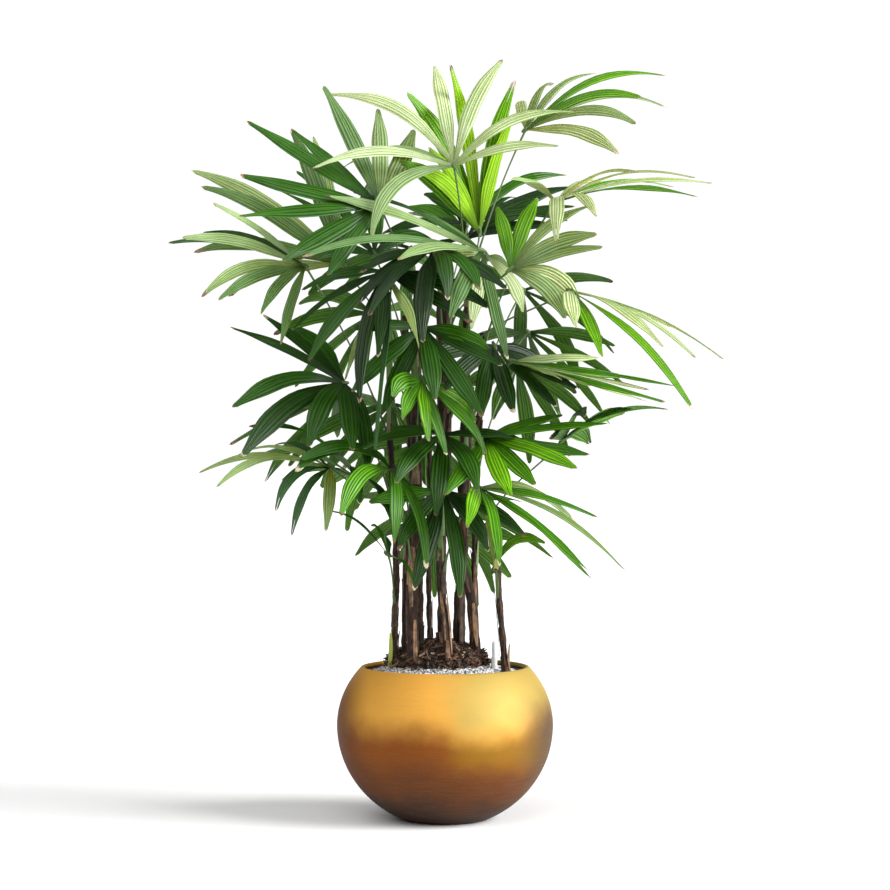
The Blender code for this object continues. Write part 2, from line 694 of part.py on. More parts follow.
def roughened(piece):
    """Uneven the top of the mound, inwards and downwards only."""
    chance = random.Random(7)
    for vert in piece.data.vertices:
        if vert.co.z > GRAVEL_TOP + 0.002:
            vert.co.z -= chance.uniform(0.0, 0.007)
            vert.co.xy *= chance.uniform(0.94, 1.0)


def make_planter(part, cutters, finishes):
    """Pot, soil, gravel, mound, gauge and stump, the gravel and mound cut clear of what stands in them."""
    turned("pot", pot_profile(), POT_SIDES, part, finishes["gold"])
    turned("soil", soil_profile(), POT_SIDES, part, finishes["soil"])
    gauge = [(0, GAUGE_TOP), (GAUGE_RADIUS, GAUGE_TOP), (GAUGE_RADIUS, GAUGE_FOOT_TOP),
             (GAUGE_FOOT_RADIUS, GAUGE_FOOT_TOP), (GAUGE_FOOT_RADIUS, GROUND), (0, GROUND)]
    piece = turned("water_gauge", gauge, 12, part, finishes["gauge"])
    piece.data.transform(Matrix.Translation((GAUGE_X, GAUGE_Y, 0)))
    stump_top = Vector((*STUMP_FOOT, STUMP_TOP))
    stump_foot = Vector((*STUMP_FOOT, GROUND))
    tube("cane_stump", [stump_foot, stump_top], [STUMP_RADIUS] * 2, 2, part, finishes["cane"])
    for name, profile, sides, middle, finish in (
            ("gravel", gravel_profile(), POT_SIDES, 0.0, finishes["gravel"]),
            ("root_mound", mound_profile(), MOUND_SIDES, MOUND_X, finishes["bark"])):
        piece = turned(name, profile, sides, part, finish, ring=name == "gravel")
        if name == "root_mound":
            roughened(piece)
            piece.data.transform(Matrix.Translation((middle, 0, 0)))
        standing_cutters(cutters, stump_foot, stump_top, finish)
        joined(piece, "DIFFERENCE", cutters, finish)


def standing_cutters(cutters, stump_foot, stump_top, finish):
    """Fattened copies of everything that stands in the mound and the gravel."""
    down = UP * 0.02
    for index in range(len(CANES)):
        points, radii = cane_line(index)
        points[0] = points[0] - (points[1] - points[0]).normalized() * 0.020
        tube("cutter", points[:3], [r + CUT_GAP for r in radii[:3]], 2, cutters, finish)
    tube("cutter", [stump_foot - down, stump_top + down], [STUMP_RADIUS + CUT_GAP] * 2, 2, cutters, finish)
    foot = Vector((GAUGE_X, GAUGE_Y, GROUND))
    tube("cutter", [foot - down, foot + down * 4], [GAUGE_FOOT_RADIUS + CUT_GAP] * 2, 4, cutters, finish)
    for cutter in cutters.objects:
        cutter.hide_render = True
        cutter.display_type = "WIRE"


def main():
    for old in list(bpy.data.objects):
        bpy.data.objects.remove(old)
    part = bpy.data.collections.new("lady_palm")
    cutters = bpy.data.collections.new("cutters")
    bpy.context.scene.collection.children.link(part)
    bpy.context.scene.collection.children.link(cutters)
    finishes = {
        "gold": material("gold_finish", (0.62, 0.38, 0.09), 0.35, 0.85),
        "soil": material("potting_soil", (0.045, 0.028, 0.018), 0.95),
        "bark": material("bark_mulch", (0.09, 0.05, 0.03), 0.95),
        "gravel": material("grey_gravel", (0.55, 0.55, 0.54), 0.8),
        "cane": material("fibrous_cane", (0.10, 0.055, 0.035), 0.9),
        "leaf": material("leaf_green", (0.07, 0.22, 0.03), 0.45),
        "gauge": material("clear_gauge", (0.85, 0.88, 0.86), 0.25),
    }
    make_planter(part, cutters, finishes)
    for index in range(len(CANES)):
        points, radii = cane_line(index)
        points[0] = points[0] - (points[1] - points[0]).normalized() * 0.012
        cane = tube(f"cane_{index + 1:02d}", points, radii, 2, part, finishes["cane"])
        flat_foot(cane, GROUND)
    make_fronds(part, finishes["leaf"])


def make_fronds(part, finish):
    """Each frond's petiole, hub and leaflets joined into one body."""
    petioles, crowns = grow(FRONDS)
    for number, (frond, line, leaves) in enumerate(zip(FRONDS, petioles, crowns)):
        if not line:
            continue
        blades = bpy.data.collections.new("blades")
        bpy.context.scene.collection.children.link(blades)
        stem = tube(f"frond_{number + 1:02d}", line[0], line[1], 0, part, finish)
        bead("hub", frond, blades, finish)
        for draw, path, length in leaves:
            lofted("blade", leaf_sections(frond, draw, path, length, stations_of(frond), 0.0), blades, finish)
        joined(stem, "UNION", blades, finish)
        bpy.data.collections.remove(blades)


main()
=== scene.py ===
"""Looks of a lady palm in a gold globe pot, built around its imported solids.

The limbs follow the source's growth rule, written again here, so each fine frond and cane lies where its
solid lies.
"""
import math
import random
from typing import NamedTuple

import bmesh
import bpy
import numpy as np
from mathutils import Matrix, Quaternion, Vector, noise
from mathutils.bvhtree import BVHTree


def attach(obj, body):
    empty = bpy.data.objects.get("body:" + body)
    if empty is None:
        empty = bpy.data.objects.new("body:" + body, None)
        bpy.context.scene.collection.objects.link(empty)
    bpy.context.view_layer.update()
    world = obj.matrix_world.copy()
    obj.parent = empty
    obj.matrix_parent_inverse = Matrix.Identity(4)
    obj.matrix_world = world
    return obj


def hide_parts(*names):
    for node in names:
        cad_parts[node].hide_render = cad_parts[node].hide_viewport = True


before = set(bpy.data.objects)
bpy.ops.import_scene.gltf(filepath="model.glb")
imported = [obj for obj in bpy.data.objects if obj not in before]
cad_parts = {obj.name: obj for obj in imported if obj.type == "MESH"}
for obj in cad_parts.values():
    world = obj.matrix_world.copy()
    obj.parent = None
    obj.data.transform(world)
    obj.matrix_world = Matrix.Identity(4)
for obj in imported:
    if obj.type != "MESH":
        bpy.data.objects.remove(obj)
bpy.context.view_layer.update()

# Sizes shared with the source, in metres
GAP = 0.0003
POT_RADIUS = 0.200
POT_MIDDLE = 0.173
FOOT_RADIUS = 0.080
LOWER_RISE = POT_MIDDLE / math.sqrt(1 - (FOOT_RADIUS / POT_RADIUS) ** 2)
UPPER_RISE = 0.170
WALL = 0.009
FLOOR = 0.012
SOIL_ANGLE = math.radians(33.5)
RIM_ANGLE = math.radians(38.8)
MOUND_X = -0.014
MOUND_RADIUS = 0.090
MOUND_TOP = 0.330
GRAVEL_TOP = 0.288
GRAVEL_SHOULDER = 0.275
GAUGE_X = 0.0905
GAUGE_Y = -0.030
GAUGE_RADIUS = 0.004
GAUGE_FOOT_RADIUS = 0.0055
GAUGE_FOOT_TOP = 0.300
GAUGE_TOP = 0.329
CANE_SIDES = 8
CANE_STEP = 0.110
CANE_THINNING = 0.22
FLARE = 0.30
FLARE_HEIGHT = 0.030
STUMP_RADIUS = 0.0075
STUMP_TOP = 0.346
PETIOLE_RADIUS = 0.0020
ROOT_START = 0.0048
PETIOLE_STEPS = 3
PATH_STEPS = 20
LEAF_THICKNESS = 0.0115
HULL_MARGIN = 0.0011
STATIONS = (0.0, 0.15, 0.48, 0.83, 1.0)
STEEP_STATIONS = (0.0, 0.14, 0.38, 0.62, 0.85, 1.0)
STEEP_DROOP = 55

FRONT = Vector((0.0, -1.0, 0.0))
UP = Vector((0.0, 0.0, 1.0))

# Ways to move a leaflet out of its neighbours: lift, swing (degrees), share of droop, share of length
TRIES = (
    (0, 0, 1.0, 1.0), (6, 0, 1.0, 1.0), (-6, 0, 1.0, 1.0), (0, 6, 1.0, 1.0), (0, -6, 1.0, 1.0),
    (12, 0, 0.8, 1.0), (-12, 0, 1.2, 1.0), (8, 8, 0.9, 0.94), (-8, -8, 1.1, 0.94), (8, -8, 0.8, 0.9),
    (-8, 8, 1.2, 0.9), (18, 0, 0.7, 0.86), (-18, 0, 1.2, 0.86), (0, 0, 1.0, 0.74), (12, 0, 1.0, 0.66),
    (-12, 0, 1.0, 0.66), (0, 0, 1.0, 0.55),
)
# Ways to lead a petiole past its neighbours: turn round the cane (degrees), sideways bow, rise on the cane
PETIOLE_TRIES = tuple(
    (turn, bow, rise)
    for rise in (0.0, 0.018, -0.018, 0.036, -0.036, 0.055, -0.055)
    for bow in (0.0, 0.12, -0.12, 0.24, -0.24)
    for turn in (0, 35, -35, 70, -70)
)

# Fine leaflets: shares of the run where rows lie, places of the columns, and the folds across
LEAF_RUNS = (0.0, 0.05, 0.11, 0.18, 0.26, 0.34, 0.42, 0.50, 0.58, 0.66, 0.73, 0.79, 0.85, 0.90, 0.935, 0.96,
             0.98, 0.992, 1.0)
LEAF_COLUMNS = (-1.0, -0.84, -0.67, -0.50, -0.33, -0.17, -0.02, 0.02, 0.17, 0.33, 0.50, 0.67, 0.84, 1.0)
RIB_PATTERN = (0.0, 0.75, 0.20, 1.0, 0.25, 0.80, 0.0, 0.0, 0.80, 0.25, 1.0, 0.20, 0.75, 0.0)
RIB_HEIGHT = 0.0016
RIB_FULL_AT = 0.012
LEAF_ARCH = 0.15
LEAF_SHEET = 0.0005
# Shares of full width: the whole blade's, its root's, and what its tip loses
LEAF_FULL = 0.86
LEAF_ROOT = 0.26
LEAF_TIP = 0.74
# The tip, in shares of the run: its teeth, its rounding, and where and how wide some split
TOOTH = 0.009
TIP_ROUNDING = 0.026
SPLIT_CHANCE = 0.14
SPLIT_START = (0.78, 0.93)
SPLIT_GAPE = 0.16
# Dead share of a leaflet and the look of its dead tip, each named as often as it should come up
DEAD_SHARES = (0.0, 0.006, 0.009, 0.009, 0.012, 0.014, 0.020, 0.045)
TIP_LOOKS = ("tip_brown", "tip_brown", "tip_russet", "tip_pale")


def outer_point(angle, inset=0.0):
    """Point of the globe's section at an angle above its middle, moved in by an inset."""
    rise = UPPER_RISE if angle > 0 else LOWER_RISE
    normal = Vector((math.cos(angle) / POT_RADIUS, math.sin(angle) / rise)).normalized()
    point = Vector((POT_RADIUS * math.cos(angle), POT_MIDDLE + rise * math.sin(angle)))
    return point - normal * inset


FOOT_ANGLE = -math.acos(FOOT_RADIUS / POT_RADIUS)
GROUND = outer_point(SOIL_ANGLE, WALL + GAP).y + GAP


class Cane(NamedTuple):
    radius: float
    knots: list


# Each cane's foot radius and the points that its axis passes through above the ground
CANES = [
    Cane(0.0065, [(-0.096, -0.030, GROUND), (-0.090, -0.030, 0.49), (-0.104, -0.025, 0.75)]),
    Cane(0.0060, [(-0.075, 0.000, GROUND), (-0.071, 0.000, 0.47), (-0.060, 0.002, 0.58),
                  (-0.075, 0.015, 0.93)]),
    Cane(0.0100, [(-0.057, -0.060, GROUND), (-0.060, -0.060, 0.43), (-0.055, -0.058, 0.58),
                  (-0.050, -0.045, 1.00)]),
    Cane(0.0065, [(-0.046, 0.022, GROUND), (-0.048, 0.024, 0.54), (-0.052, 0.045, 0.90)]),
    Cane(0.0048, [(-0.027, 0.050, GROUND), (-0.031, 0.052, 0.49), (-0.028, 0.080, 0.74)]),
    Cane(0.0075, [(0.006, -0.070, GROUND), (0.003, -0.070, 0.36), (-0.008, -0.070, 0.45),
                  (-0.006, -0.068, 0.84)]),
    Cane(0.0085, [(0.023, 0.012, GROUND), (0.025, 0.012, 0.40), (0.036, 0.010, 0.51), (0.034, 0.010, 0.60),
                  (0.040, 0.005, 0.90), (0.047, 0.005, 1.05)]),
    Cane(0.0090, [(0.060, -0.020, GROUND), (0.047, -0.026, 0.41), (0.027, -0.034, 0.48),
                  (0.006, -0.034, 0.58), (0.000, -0.030, 0.98)]),
    Cane(0.0058, [(0.058, 0.045, GROUND), (0.056, 0.045, 0.51), (0.070, 0.050, 0.90)]),
    Cane(0.0060, [(0.112, -0.050, GROUND), (0.100, -0.050, 0.40), (0.097, -0.050, 0.468)]),
    Cane(0.0080, [(-0.008, 0.074, GROUND), (-0.005, 0.078, 0.50), (-0.010, 0.095, 0.96)]),
    Cane(0.0070, [(0.030, 0.080, GROUND), (0.034, 0.084, 0.50), (0.050, 0.105, 0.80)]),
]
STUMP_FOOT = (-0.010, -0.024)


class Frond(NamedTuple):
    cane: int
    height: float
    hub: tuple
    axis: Vector
    face: Vector
    spread: float
    count: int
    length: float
    width: float = 0.038
    droop: float = 35.0
    cup: float = 4.0
    arch: float = 0.60
    seed: int = 0


def facing(cane, height, hub, aim, lean, tilt, **blade):
    """A frond seen from the front: aim in the picture plane, lean to the front, tilt from facing to lying."""
    aim = math.radians(aim)
    lean = math.radians(lean)
    tilt = math.radians(tilt)
    axis = Vector((math.cos(lean) * math.cos(aim), -math.sin(lean), math.cos(lean) * math.sin(aim)))
    front = (FRONT - axis * axis.dot(FRONT)).normalized()
    over = axis.cross(front)
    if over.z < 0:
        over = -over
    return Frond(cane, height, hub, axis, front * math.cos(tilt) + over * math.sin(tilt), **blade)


def spreading(cane, height, heading, reach, rise, pitch, **blade):
    """A frond set by the compass: its hub lies reach out and rise above where it leaves the cane."""
    heading = math.radians(heading)
    pitch = math.radians(pitch)
    flat = Vector((math.cos(heading), math.sin(heading), 0.0))
    axis = flat * math.cos(pitch) + UP * math.sin(pitch)
    hub = cane_at(cane, height)[0] + flat * reach + UP * rise
    return Frond(cane, height, tuple(hub), axis, (UP - axis * axis.z).normalized(), **blade)


def smooth(share):
    share = min(max(share, 0.0), 1.0)
    return share * share * (3.0 - 2.0 * share)


def through(knots, step):
    """Points at even steps along a smooth curve through the knots."""
    knots = [Vector(k) for k in knots]
    ends = [knots[0] * 2 - knots[1]] + knots + [knots[-1] * 2 - knots[-2]]
    points = []
    for before, start, stop, after in zip(ends, ends[1:], ends[2:], ends[3:]):
        pieces = max(1, round((stop - start).length / step))
        for i in range(pieces):
            t = i / pieces
            points.append(0.5 * (2 * start + (stop - before) * t
                                 + (2 * before - 5 * start + 4 * stop - after) * t * t
                                 + (3 * start - before - 3 * stop + after) * t ** 3))
    return points + [knots[-1]]


def cane_line(index, step=CANE_STEP):
    """Axis points and radii of a cane from the ground to its tip."""
    cane = CANES[index]
    points = through(cane.knots, step)
    top = points[-1].z
    radii = []
    for point in points:
        run = (point.z - GROUND) / (top - GROUND)
        flare = FLARE * math.exp(-(point.z - GROUND) / FLARE_HEIGHT)
        radii.append(cane.radius * (1 + flare) * (1 - CANE_THINNING * run))
    return points, radii


def cane_at(index, height):
    """Axis point, direction and radius of a cane at a height."""
    points, radii = cane_line(index)
    for low, high, r_low, r_high in zip(points, points[1:], radii, radii[1:]):
        if height <= high.z or high is points[-1]:
            share = min(max((height - low.z) / (high.z - low.z), 0.0), 1.0)
            return low.lerp(high, share), (high - low).normalized(), r_low + (r_high - r_low) * share


def ring_hull(sections):
    """Faces of a closed tube through sections that each hold the same number of points."""
    size = len(sections[0])
    corners = [point for section in sections for point in section]
    faces = [tuple(range(size))[::-1], tuple(range(len(corners) - size, len(corners)))]
    for row in range(len(sections) - 1):
        for i in range(size):
            j = (i + 1) % size
            low = row * size
            high = low + size
            faces.append((low + i, low + j, high + j, high + i))
    return corners, faces


class Hull:
    """A limb's outline for the clash test: its box and its tree of faces."""

    def __init__(self, sections, owner):
        corners, faces = ring_hull(sections)
        self.owner = owner
        self.low = [min(c[i] for c in corners) for i in range(3)]
        self.high = [max(c[i] for c in corners) for i in range(3)]
        self.tree = BVHTree.FromPolygons(corners, faces)

    def touches(self, other):
        if any(self.low[i] > other.high[i] or other.low[i] > self.high[i] for i in range(3)):
            return False
        return bool(self.tree.overlap(other.tree))


def tube_sections(points, radii, sides, margin):
    """Rings round a line, wide enough to hold any tube of those radii."""
    sections = []
    for i, point in enumerate(points):
        ahead = points[min(i + 1, len(points) - 1)] - points[max(i - 1, 0)]
        side = ahead.cross(Vector((0.31, 0.95, 0.02))).normalized()
        turn = Quaternion(ahead.normalized(), math.tau / sides)
        reach = (radii[i] + margin) / math.cos(math.pi / sides)
        ring = []
        for k in range(sides):
            ring.append(point + side * reach)
            side = turn @ side
        sections.append(ring)
    return sections


def petiole_line(frond, turn, bow, rise, steps=PETIOLE_STEPS):
    """Points and radii of a petiole that leaves its cane upwards and bends out to the hub."""
    foot, direction, radius = cane_at(frond.cane, frond.height + rise)
    hub = Vector(frond.hub)
    away = hub - foot
    away = away - direction * away.dot(direction)
    if away.length < 0.01:
        away = frond.axis - direction * frond.axis.dot(direction)
    away = Quaternion(direction, math.radians(turn)) @ away.normalized()
    start = foot + away * (radius + PETIOLE_RADIUS + GAP)
    span = (hub - start).length
    side = direction.cross(hub - start).normalized() if (hub - start).cross(direction).length > 1e-4 else away
    first = start + (direction * 0.9 + away * 0.26).normalized() * span * 0.42
    last = hub - ((hub - start).normalized() * 1.6 + frond.axis * 0.5 + UP * 0.2).normalized() * span * 0.30
    last = last + side * bow * span
    points = []
    radii = []
    for i in range(steps + 1):
        t = i / steps
        rest = 1 - t
        points.append(start * rest ** 3 + first * 3 * rest * rest * t + last * 3 * rest * t * t
                      + hub * t ** 3)
        radii.append(PETIOLE_RADIUS)
    return points, radii


def leaf_draws(number, frond):
    """Seeded differences of each leaflet of a frond."""
    chance = random.Random(frond.seed or 100 + number)
    draws = []
    for _ in range(frond.count):
        draws.append({
            "turn": chance.uniform(-5, 5), "lift": chance.uniform(-9, 9), "droop": chance.uniform(0.6, 1.45),
            "length": chance.uniform(0.80, 1.10), "sweep": chance.uniform(-12, 12),
            "twist": chance.uniform(-25, 25), "width": chance.uniform(0.82, 1.10),
        })
    return draws


def leaf_path(frond, order, draw, attempt):
    """Points, directions and widthwise vectors at even steps along one leaflet."""
    lift, swing, slack, short = attempt
    place = 2 * order / (frond.count - 1) - 1 if frond.count > 1 else 0.0
    turn = math.radians(place * frond.spread / 2 + draw["turn"] + swing)
    heading = Quaternion(frond.face, turn) @ frond.axis
    across = heading.cross(frond.face).normalized()
    heading = Quaternion(across, math.radians(frond.cup + draw["lift"] + lift)) @ heading
    over = across.cross(heading).normalized()
    length = frond.length * draw["length"] * short * (1 - 0.26 * abs(place) ** 1.6)
    level = math.hypot(heading.x, heading.y)
    hinge = heading.cross(-UP)
    hinge = hinge.normalized() if hinge.length > 1e-3 else across
    room = heading.angle(-UP)
    bend = min(math.radians(frond.droop) * draw["droop"] * slack * (0.2 + 0.8 * level), max(room - 0.08, 0.0))
    point = Vector(frond.hub) + heading * ROOT_START
    path = []
    for i in range(PATH_STEPS + 1):
        run = i / PATH_STEPS
        sway = Quaternion(over, math.radians(draw["sweep"]) * run)
        sag = Quaternion(hinge, bend * smooth((run - frond.arch) + 0.5))
        roll = Quaternion(heading, math.radians(draw["twist"]) * run)
        forward = sag @ (sway @ heading)
        path.append((point.copy(), forward, sag @ (sway @ (roll @ across))))
        point += forward * (length / PATH_STEPS)
    return path, length


def along(path, run):
    """Point, direction and widthwise vector at a share of a leaflet's run."""
    spot = run * PATH_STEPS
    low = min(int(spot), PATH_STEPS - 1)
    share = spot - low
    return tuple(a.lerp(b, share) for a, b in zip(path[low], path[low + 1]))


def leaf_width(run):
    """Share of full width: narrow root, even middle, blunt tip."""
    root = 0.08 + 0.92 * smooth(run / 0.46)
    tip = 1.0 - 0.66 * smooth((run - 0.72) / 0.30)
    return root * tip


def leaf_hull(frond, draw, path, length):
    """Sections of a leaflet with room round it, for the clash test."""
    stations = STEEP_STATIONS if frond.droop >= STEEP_DROOP else STATIONS
    sections = []
    for run in stations:
        point, forward, across = along(path, run)
        over = across.cross(forward).normalized()
        half = 0.5 * frond.width * draw["width"] * leaf_width(run)
        keel = length * LEAF_THICKNESS * (0.55 + 0.45 * leaf_width(run))
        sections.append([
            point + across * (half + HULL_MARGIN), point + over * HULL_MARGIN,
            point - across * (half + HULL_MARGIN), point - over * (keel + HULL_MARGIN),
        ])
    return sections


def grow(fronds):
    """The way each petiole takes and the leaflets that find room, each frond in its own space."""
    placed = []
    for index in range(len(CANES)):
        points, radii = cane_line(index)
        placed.append(Hull(tube_sections(points, radii, CANE_SIDES, 0.0), ("cane", index)))
    ways = []
    for number, frond in enumerate(fronds):
        chosen = None
        for attempt in PETIOLE_TRIES:
            points, radii = petiole_line(frond, *attempt)
            hull = Hull(tube_sections(points, radii, 4, 0.0001), ("frond", number))
            free = Hull(tube_sections(points[1:], radii[1:], 4, HULL_MARGIN), ("frond", number))
            others = [h for h in placed if h.owner != ("cane", frond.cane)]
            own = [h for h in placed if h.owner == ("cane", frond.cane)]
            clear = not any(hull.touches(h) or free.touches(h) for h in others)
            if clear and not any(free.touches(h) for h in own):
                chosen = attempt
                placed.append(Hull(tube_sections(points, radii, 4, 0.0), ("frond", number)))
                break
        ways.append(chosen)
    crowns = []
    for number, frond in enumerate(fronds):
        leaves = []
        others = [h for h in placed if h.owner != ("frond", number)]
        for order, draw in enumerate(leaf_draws(number, frond) if ways[number] else []):
            for attempt in TRIES:
                path, length = leaf_path(frond, order, draw, attempt)
                hull = Hull(leaf_hull(frond, draw, path, length), ("frond", number))
                if not any(hull.touches(h) for h in others):
                    leaves.append((draw, path, length))
                    placed.append(hull)
                    break
        crowns.append(leaves)
    return ways, crowns


# Fronds in the order in which they claim their space, those in front first
FRONDS = [
    facing(2, 0.94, (-0.119, -0.102, 1.124), 155, -11, 35,
           spread=178, count=9, length=0.273, width=0.040, droop=5, cup=5.4, arch=0.74, seed=380),
    facing(6, 1.00, (0.016, -0.066, 1.199), 117, -34, 21,
           spread=175, count=8, length=0.308, width=0.032, droop=48, cup=12, arch=0.53, seed=279),
    facing(6, 0.99, (0.065, 0.061, 1.090), 103, 19, 33,
           spread=60, count=7, length=0.305, droop=46, cup=2, arch=0.67, seed=350),
    facing(6, 0.90, (0.067, -0.110, 1.041), 162, 33, 66,
           spread=172, count=7, length=0.345, width=0.040, droop=25, cup=-7, arch=0.64, seed=33),
    facing(6, 1.02, (0.152, 0.060, 1.283), 35, -14, 62,
           spread=121, count=8, length=0.305, width=0.032, droop=45, cup=2, arch=0.60, seed=321),
    facing(8, 0.88, (0.204, -0.036, 1.137), 2, 32, 81,
           spread=167, count=9, length=0.313, width=0.032, droop=41, cup=16.8, arch=0.49, seed=106),
    facing(7, 0.80, (0.224, -0.144, 0.966), -20, 34, 77,
           spread=118, count=7, length=0.332, width=0.036, droop=24, cup=-1.6, arch=0.49, seed=241),
    facing(7, 0.74, (0.124, -0.109, 0.841), -20, 5, 77,
           spread=112, count=8, length=0.313, width=0.042, droop=5, cup=7.4, arch=0.62, seed=180),
    facing(5, 0.46, (0.061, -0.150, 0.614), -44, 23, 67,
           spread=141, count=7, length=0.306, droop=34, cup=21, arch=0.42, seed=388),
    facing(0, 0.60, (-0.184, -0.060, 0.803), 186, 29, 46,
           spread=173, count=8, length=0.269, width=0.042, droop=38, cup=15.2, arch=0.42, seed=276),
    facing(0, 0.72, (-0.257, -0.031, 1.019), 174, 52, 39,
           spread=85, count=8, length=0.306, width=0.026, droop=28, cup=0.4, arch=0.57, seed=209),
    facing(1, 0.84, (-0.189, 0.008, 1.025), 134, -10, 30,
           spread=112, count=7, length=0.320, width=0.036, droop=33, cup=2, arch=0.73, seed=259),
    facing(2, 0.48, (-0.095, -0.153, 0.646), 188, 75, 49,
           spread=220, count=6, length=0.225, droop=89, cup=3, arch=0.45, seed=215),
    facing(1, 0.50, (-0.209, -0.090, 0.649), 185, 25, 63,
           spread=131, count=7, length=0.236, width=0.024, droop=59, cup=15, arch=0.55, seed=305),
    facing(5, 0.58, (0.074, -0.138, 0.705), -19, 39, 47,
           spread=131, count=7, length=0.234, droop=9, cup=1, arch=0.52, seed=85),
    facing(2, 0.84, (-0.095, -0.208, 0.973), 256, -19, 73,
           spread=164, count=5, length=0.309, droop=51, cup=-1, arch=0.69, seed=4),
    facing(5, 0.68, (-0.039, -0.193, 0.806), 296, 22, 55,
           spread=173, count=7, length=0.170, width=0.042, droop=61, cup=-2, arch=0.73, seed=158),
    facing(7, 0.90, (0.118, -0.100, 1.007), 33, -3, 30,
           spread=118, count=7, length=0.203, width=0.034, droop=44, cup=3.4, arch=0.52, seed=400),
    facing(7, 0.94, (0.076, -0.080, 1.033), 283, 28, 46,
           spread=207, count=6, length=0.160, droop=77, cup=-5.4, arch=0.55, seed=218),
    facing(0, 0.40, (-0.103, -0.092, 0.492), 143, 39, 83,
           spread=167, count=4, length=0.163, width=0.020, droop=97, cup=20, arch=0.69, seed=47),
    facing(9, 0.45, (0.089, -0.032, 0.460), 62, 21, 56,
           spread=83, count=3, length=0.183, width=0.022, droop=86, cup=13, arch=0.42, seed=106),
    spreading(2, 0.66, 277, 0.12, 0.24, -55, spread=157, count=7, length=0.20, droop=19, seed=339),
    spreading(5, 0.62, 273, 0.05, 0.09, -35, spread=200, count=7, length=0.21, droop=43, cup=4.6, seed=203),
    spreading(7, 0.82, 260, 0.12, 0.22, -30, spread=124, count=7, length=0.25, droop=49, cup=4.4, seed=277),
    spreading(2, 0.89, 244, 0.13, 0.11, -51, spread=186, count=7, length=0.26, droop=28, seed=10),
    spreading(5, 0.52, 274, 0.07, 0.09, -59, spread=148, count=6, length=0.21, droop=27, seed=340),
    spreading(1, 0.55, 210, 0.11, 0.08, 33, spread=175, count=7, length=0.26, droop=58, seed=96),
    spreading(6, 0.71, 299, 0.11, 0.16, -57, spread=184, count=7, length=0.19, droop=23, seed=118),
    spreading(3, 0.70, 142, 0.11, 0.24, -47, spread=203, count=7, length=0.26, droop=40, cup=6.4, seed=35),
    spreading(3, 0.65, 115, 0.12, 0.12, -49, spread=136, count=6, length=0.27, droop=33, seed=326),
    spreading(8, 0.65, 56, 0.14, 0.19, -47, spread=164, count=6, length=0.22, droop=38, seed=38),
    spreading(1, 0.89, 138, 0.08, 0.16, 45, spread=178, count=7, length=0.27, droop=43, cup=3.4, seed=220),
    spreading(4, 0.47, 80, 0.16, 0.07, -38, spread=137, count=6, length=0.23, droop=19, seed=320),
    spreading(10, 0.83, 63, 0.11, 0.26, 44, spread=151, count=7, length=0.27, droop=35, cup=1.6, seed=8),
    spreading(10, 0.59, 106, 0.12, 0.11, -57, spread=175, count=6, length=0.24, droop=40, seed=107),
    spreading(11, 0.74, 41, 0.14, 0.25, -39, spread=180, count=5, length=0.29, droop=49, seed=357),
    spreading(8, 0.51, -18, 0.17, 0.19, 43, spread=149, count=6, length=0.23, droop=41, seed=169),
    spreading(11, 0.70, 46, 0.17, 0.21, -39, spread=170, count=6, length=0.28, droop=25, seed=385),
    spreading(4, 0.51, 79, 0.11, 0.07, -35, spread=212, count=6, length=0.28, droop=27, seed=285),
    spreading(3, 0.87, 96, 0.13, 0.20, -21, spread=203, count=7, length=0.29, droop=47, seed=93),
    spreading(10, 0.90, 60, 0.11, 0.22, 36, spread=162, count=6, length=0.27, droop=36, seed=46),
    spreading(1, 0.55, 147, 0.17, 0.23, -39, spread=165, count=6, length=0.23, droop=24, seed=21),
]

# Greens dealt out to leaflets, as linear base colours; the three palest greens are painted sheen and the two
# darkest painted shade
SHADES = {
    "leaf_night": (0.008, 0.032, 0.002),
    "leaf_deep": (0.014, 0.058, 0.002),
    "leaf_forest": (0.026, 0.100, 0.003),
    "leaf_green": (0.055, 0.185, 0.003),
    "leaf_fresh": (0.088, 0.265, 0.003),
    "leaf_bright": (0.150, 0.370, 0.004),
    "leaf_lime": (0.290, 0.530, 0.006),
    "leaf_blue": (0.038, 0.102, 0.028),
    "leaf_frosted": (0.100, 0.185, 0.066),
    "leaf_silver": (0.220, 0.320, 0.140),
    "leaf_pale": (0.420, 0.500, 0.300),
}
# The greens with painted sheen
SHEEN_SHADES = ("leaf_frosted", "leaf_silver", "leaf_pale")
# Which greens a frond draws from, each named as often as it should come up
PALETTES = {
    "night_shade": ("leaf_night", "leaf_deep", "leaf_deep", "leaf_forest"),
    "deep_shade": ("leaf_deep", "leaf_forest", "leaf_forest", "leaf_green"),
    "faint_sheen": ("leaf_frosted", "leaf_silver", "leaf_frosted", "leaf_blue"),
    "green": ("leaf_forest", "leaf_green", "leaf_green", "leaf_fresh"),
    "fresh": ("leaf_green", "leaf_fresh", "leaf_fresh", "leaf_bright"),
    "lime": ("leaf_lime", "leaf_bright", "leaf_lime", "leaf_lime"),
    "silver_sheen": ("leaf_silver", "leaf_frosted", "leaf_silver", "leaf_forest", "leaf_deep"),
    "pale": ("leaf_pale", "leaf_pale", "leaf_silver", "leaf_bright"),
    "painted_sheen": ("leaf_silver", "leaf_frosted", "leaf_silver", "leaf_frosted", "leaf_forest"),
    "sheen": ("leaf_silver", "leaf_pale", "leaf_bright", "leaf_silver", "leaf_fresh"),
}
# The palette of each frond, in the order of FRONDS: the pale and sheen palettes paint sheen on the outer
# fronds, and the two darkest palettes paint shade on the inner fronds
FROND_PALETTES = (
    "painted_sheen", "pale", "lime", "faint_sheen", "pale", "pale", "pale", "sheen", "sheen", "deep_shade", "silver_sheen", "painted_sheen",
    "green", "faint_sheen", "fresh", "faint_sheen", "fresh", "sheen", "sheen", "green", "sheen", "deep_shade", "deep_shade", "night_shade",
    "night_shade", "deep_shade", "deep_shade", "night_shade", "night_shade", "night_shade", "deep_shade", "deep_shade", "deep_shade", "deep_shade", "deep_shade", "night_shade",
    "green", "deep_shade", "deep_shade", "deep_shade", "deep_shade", "night_shade",
)


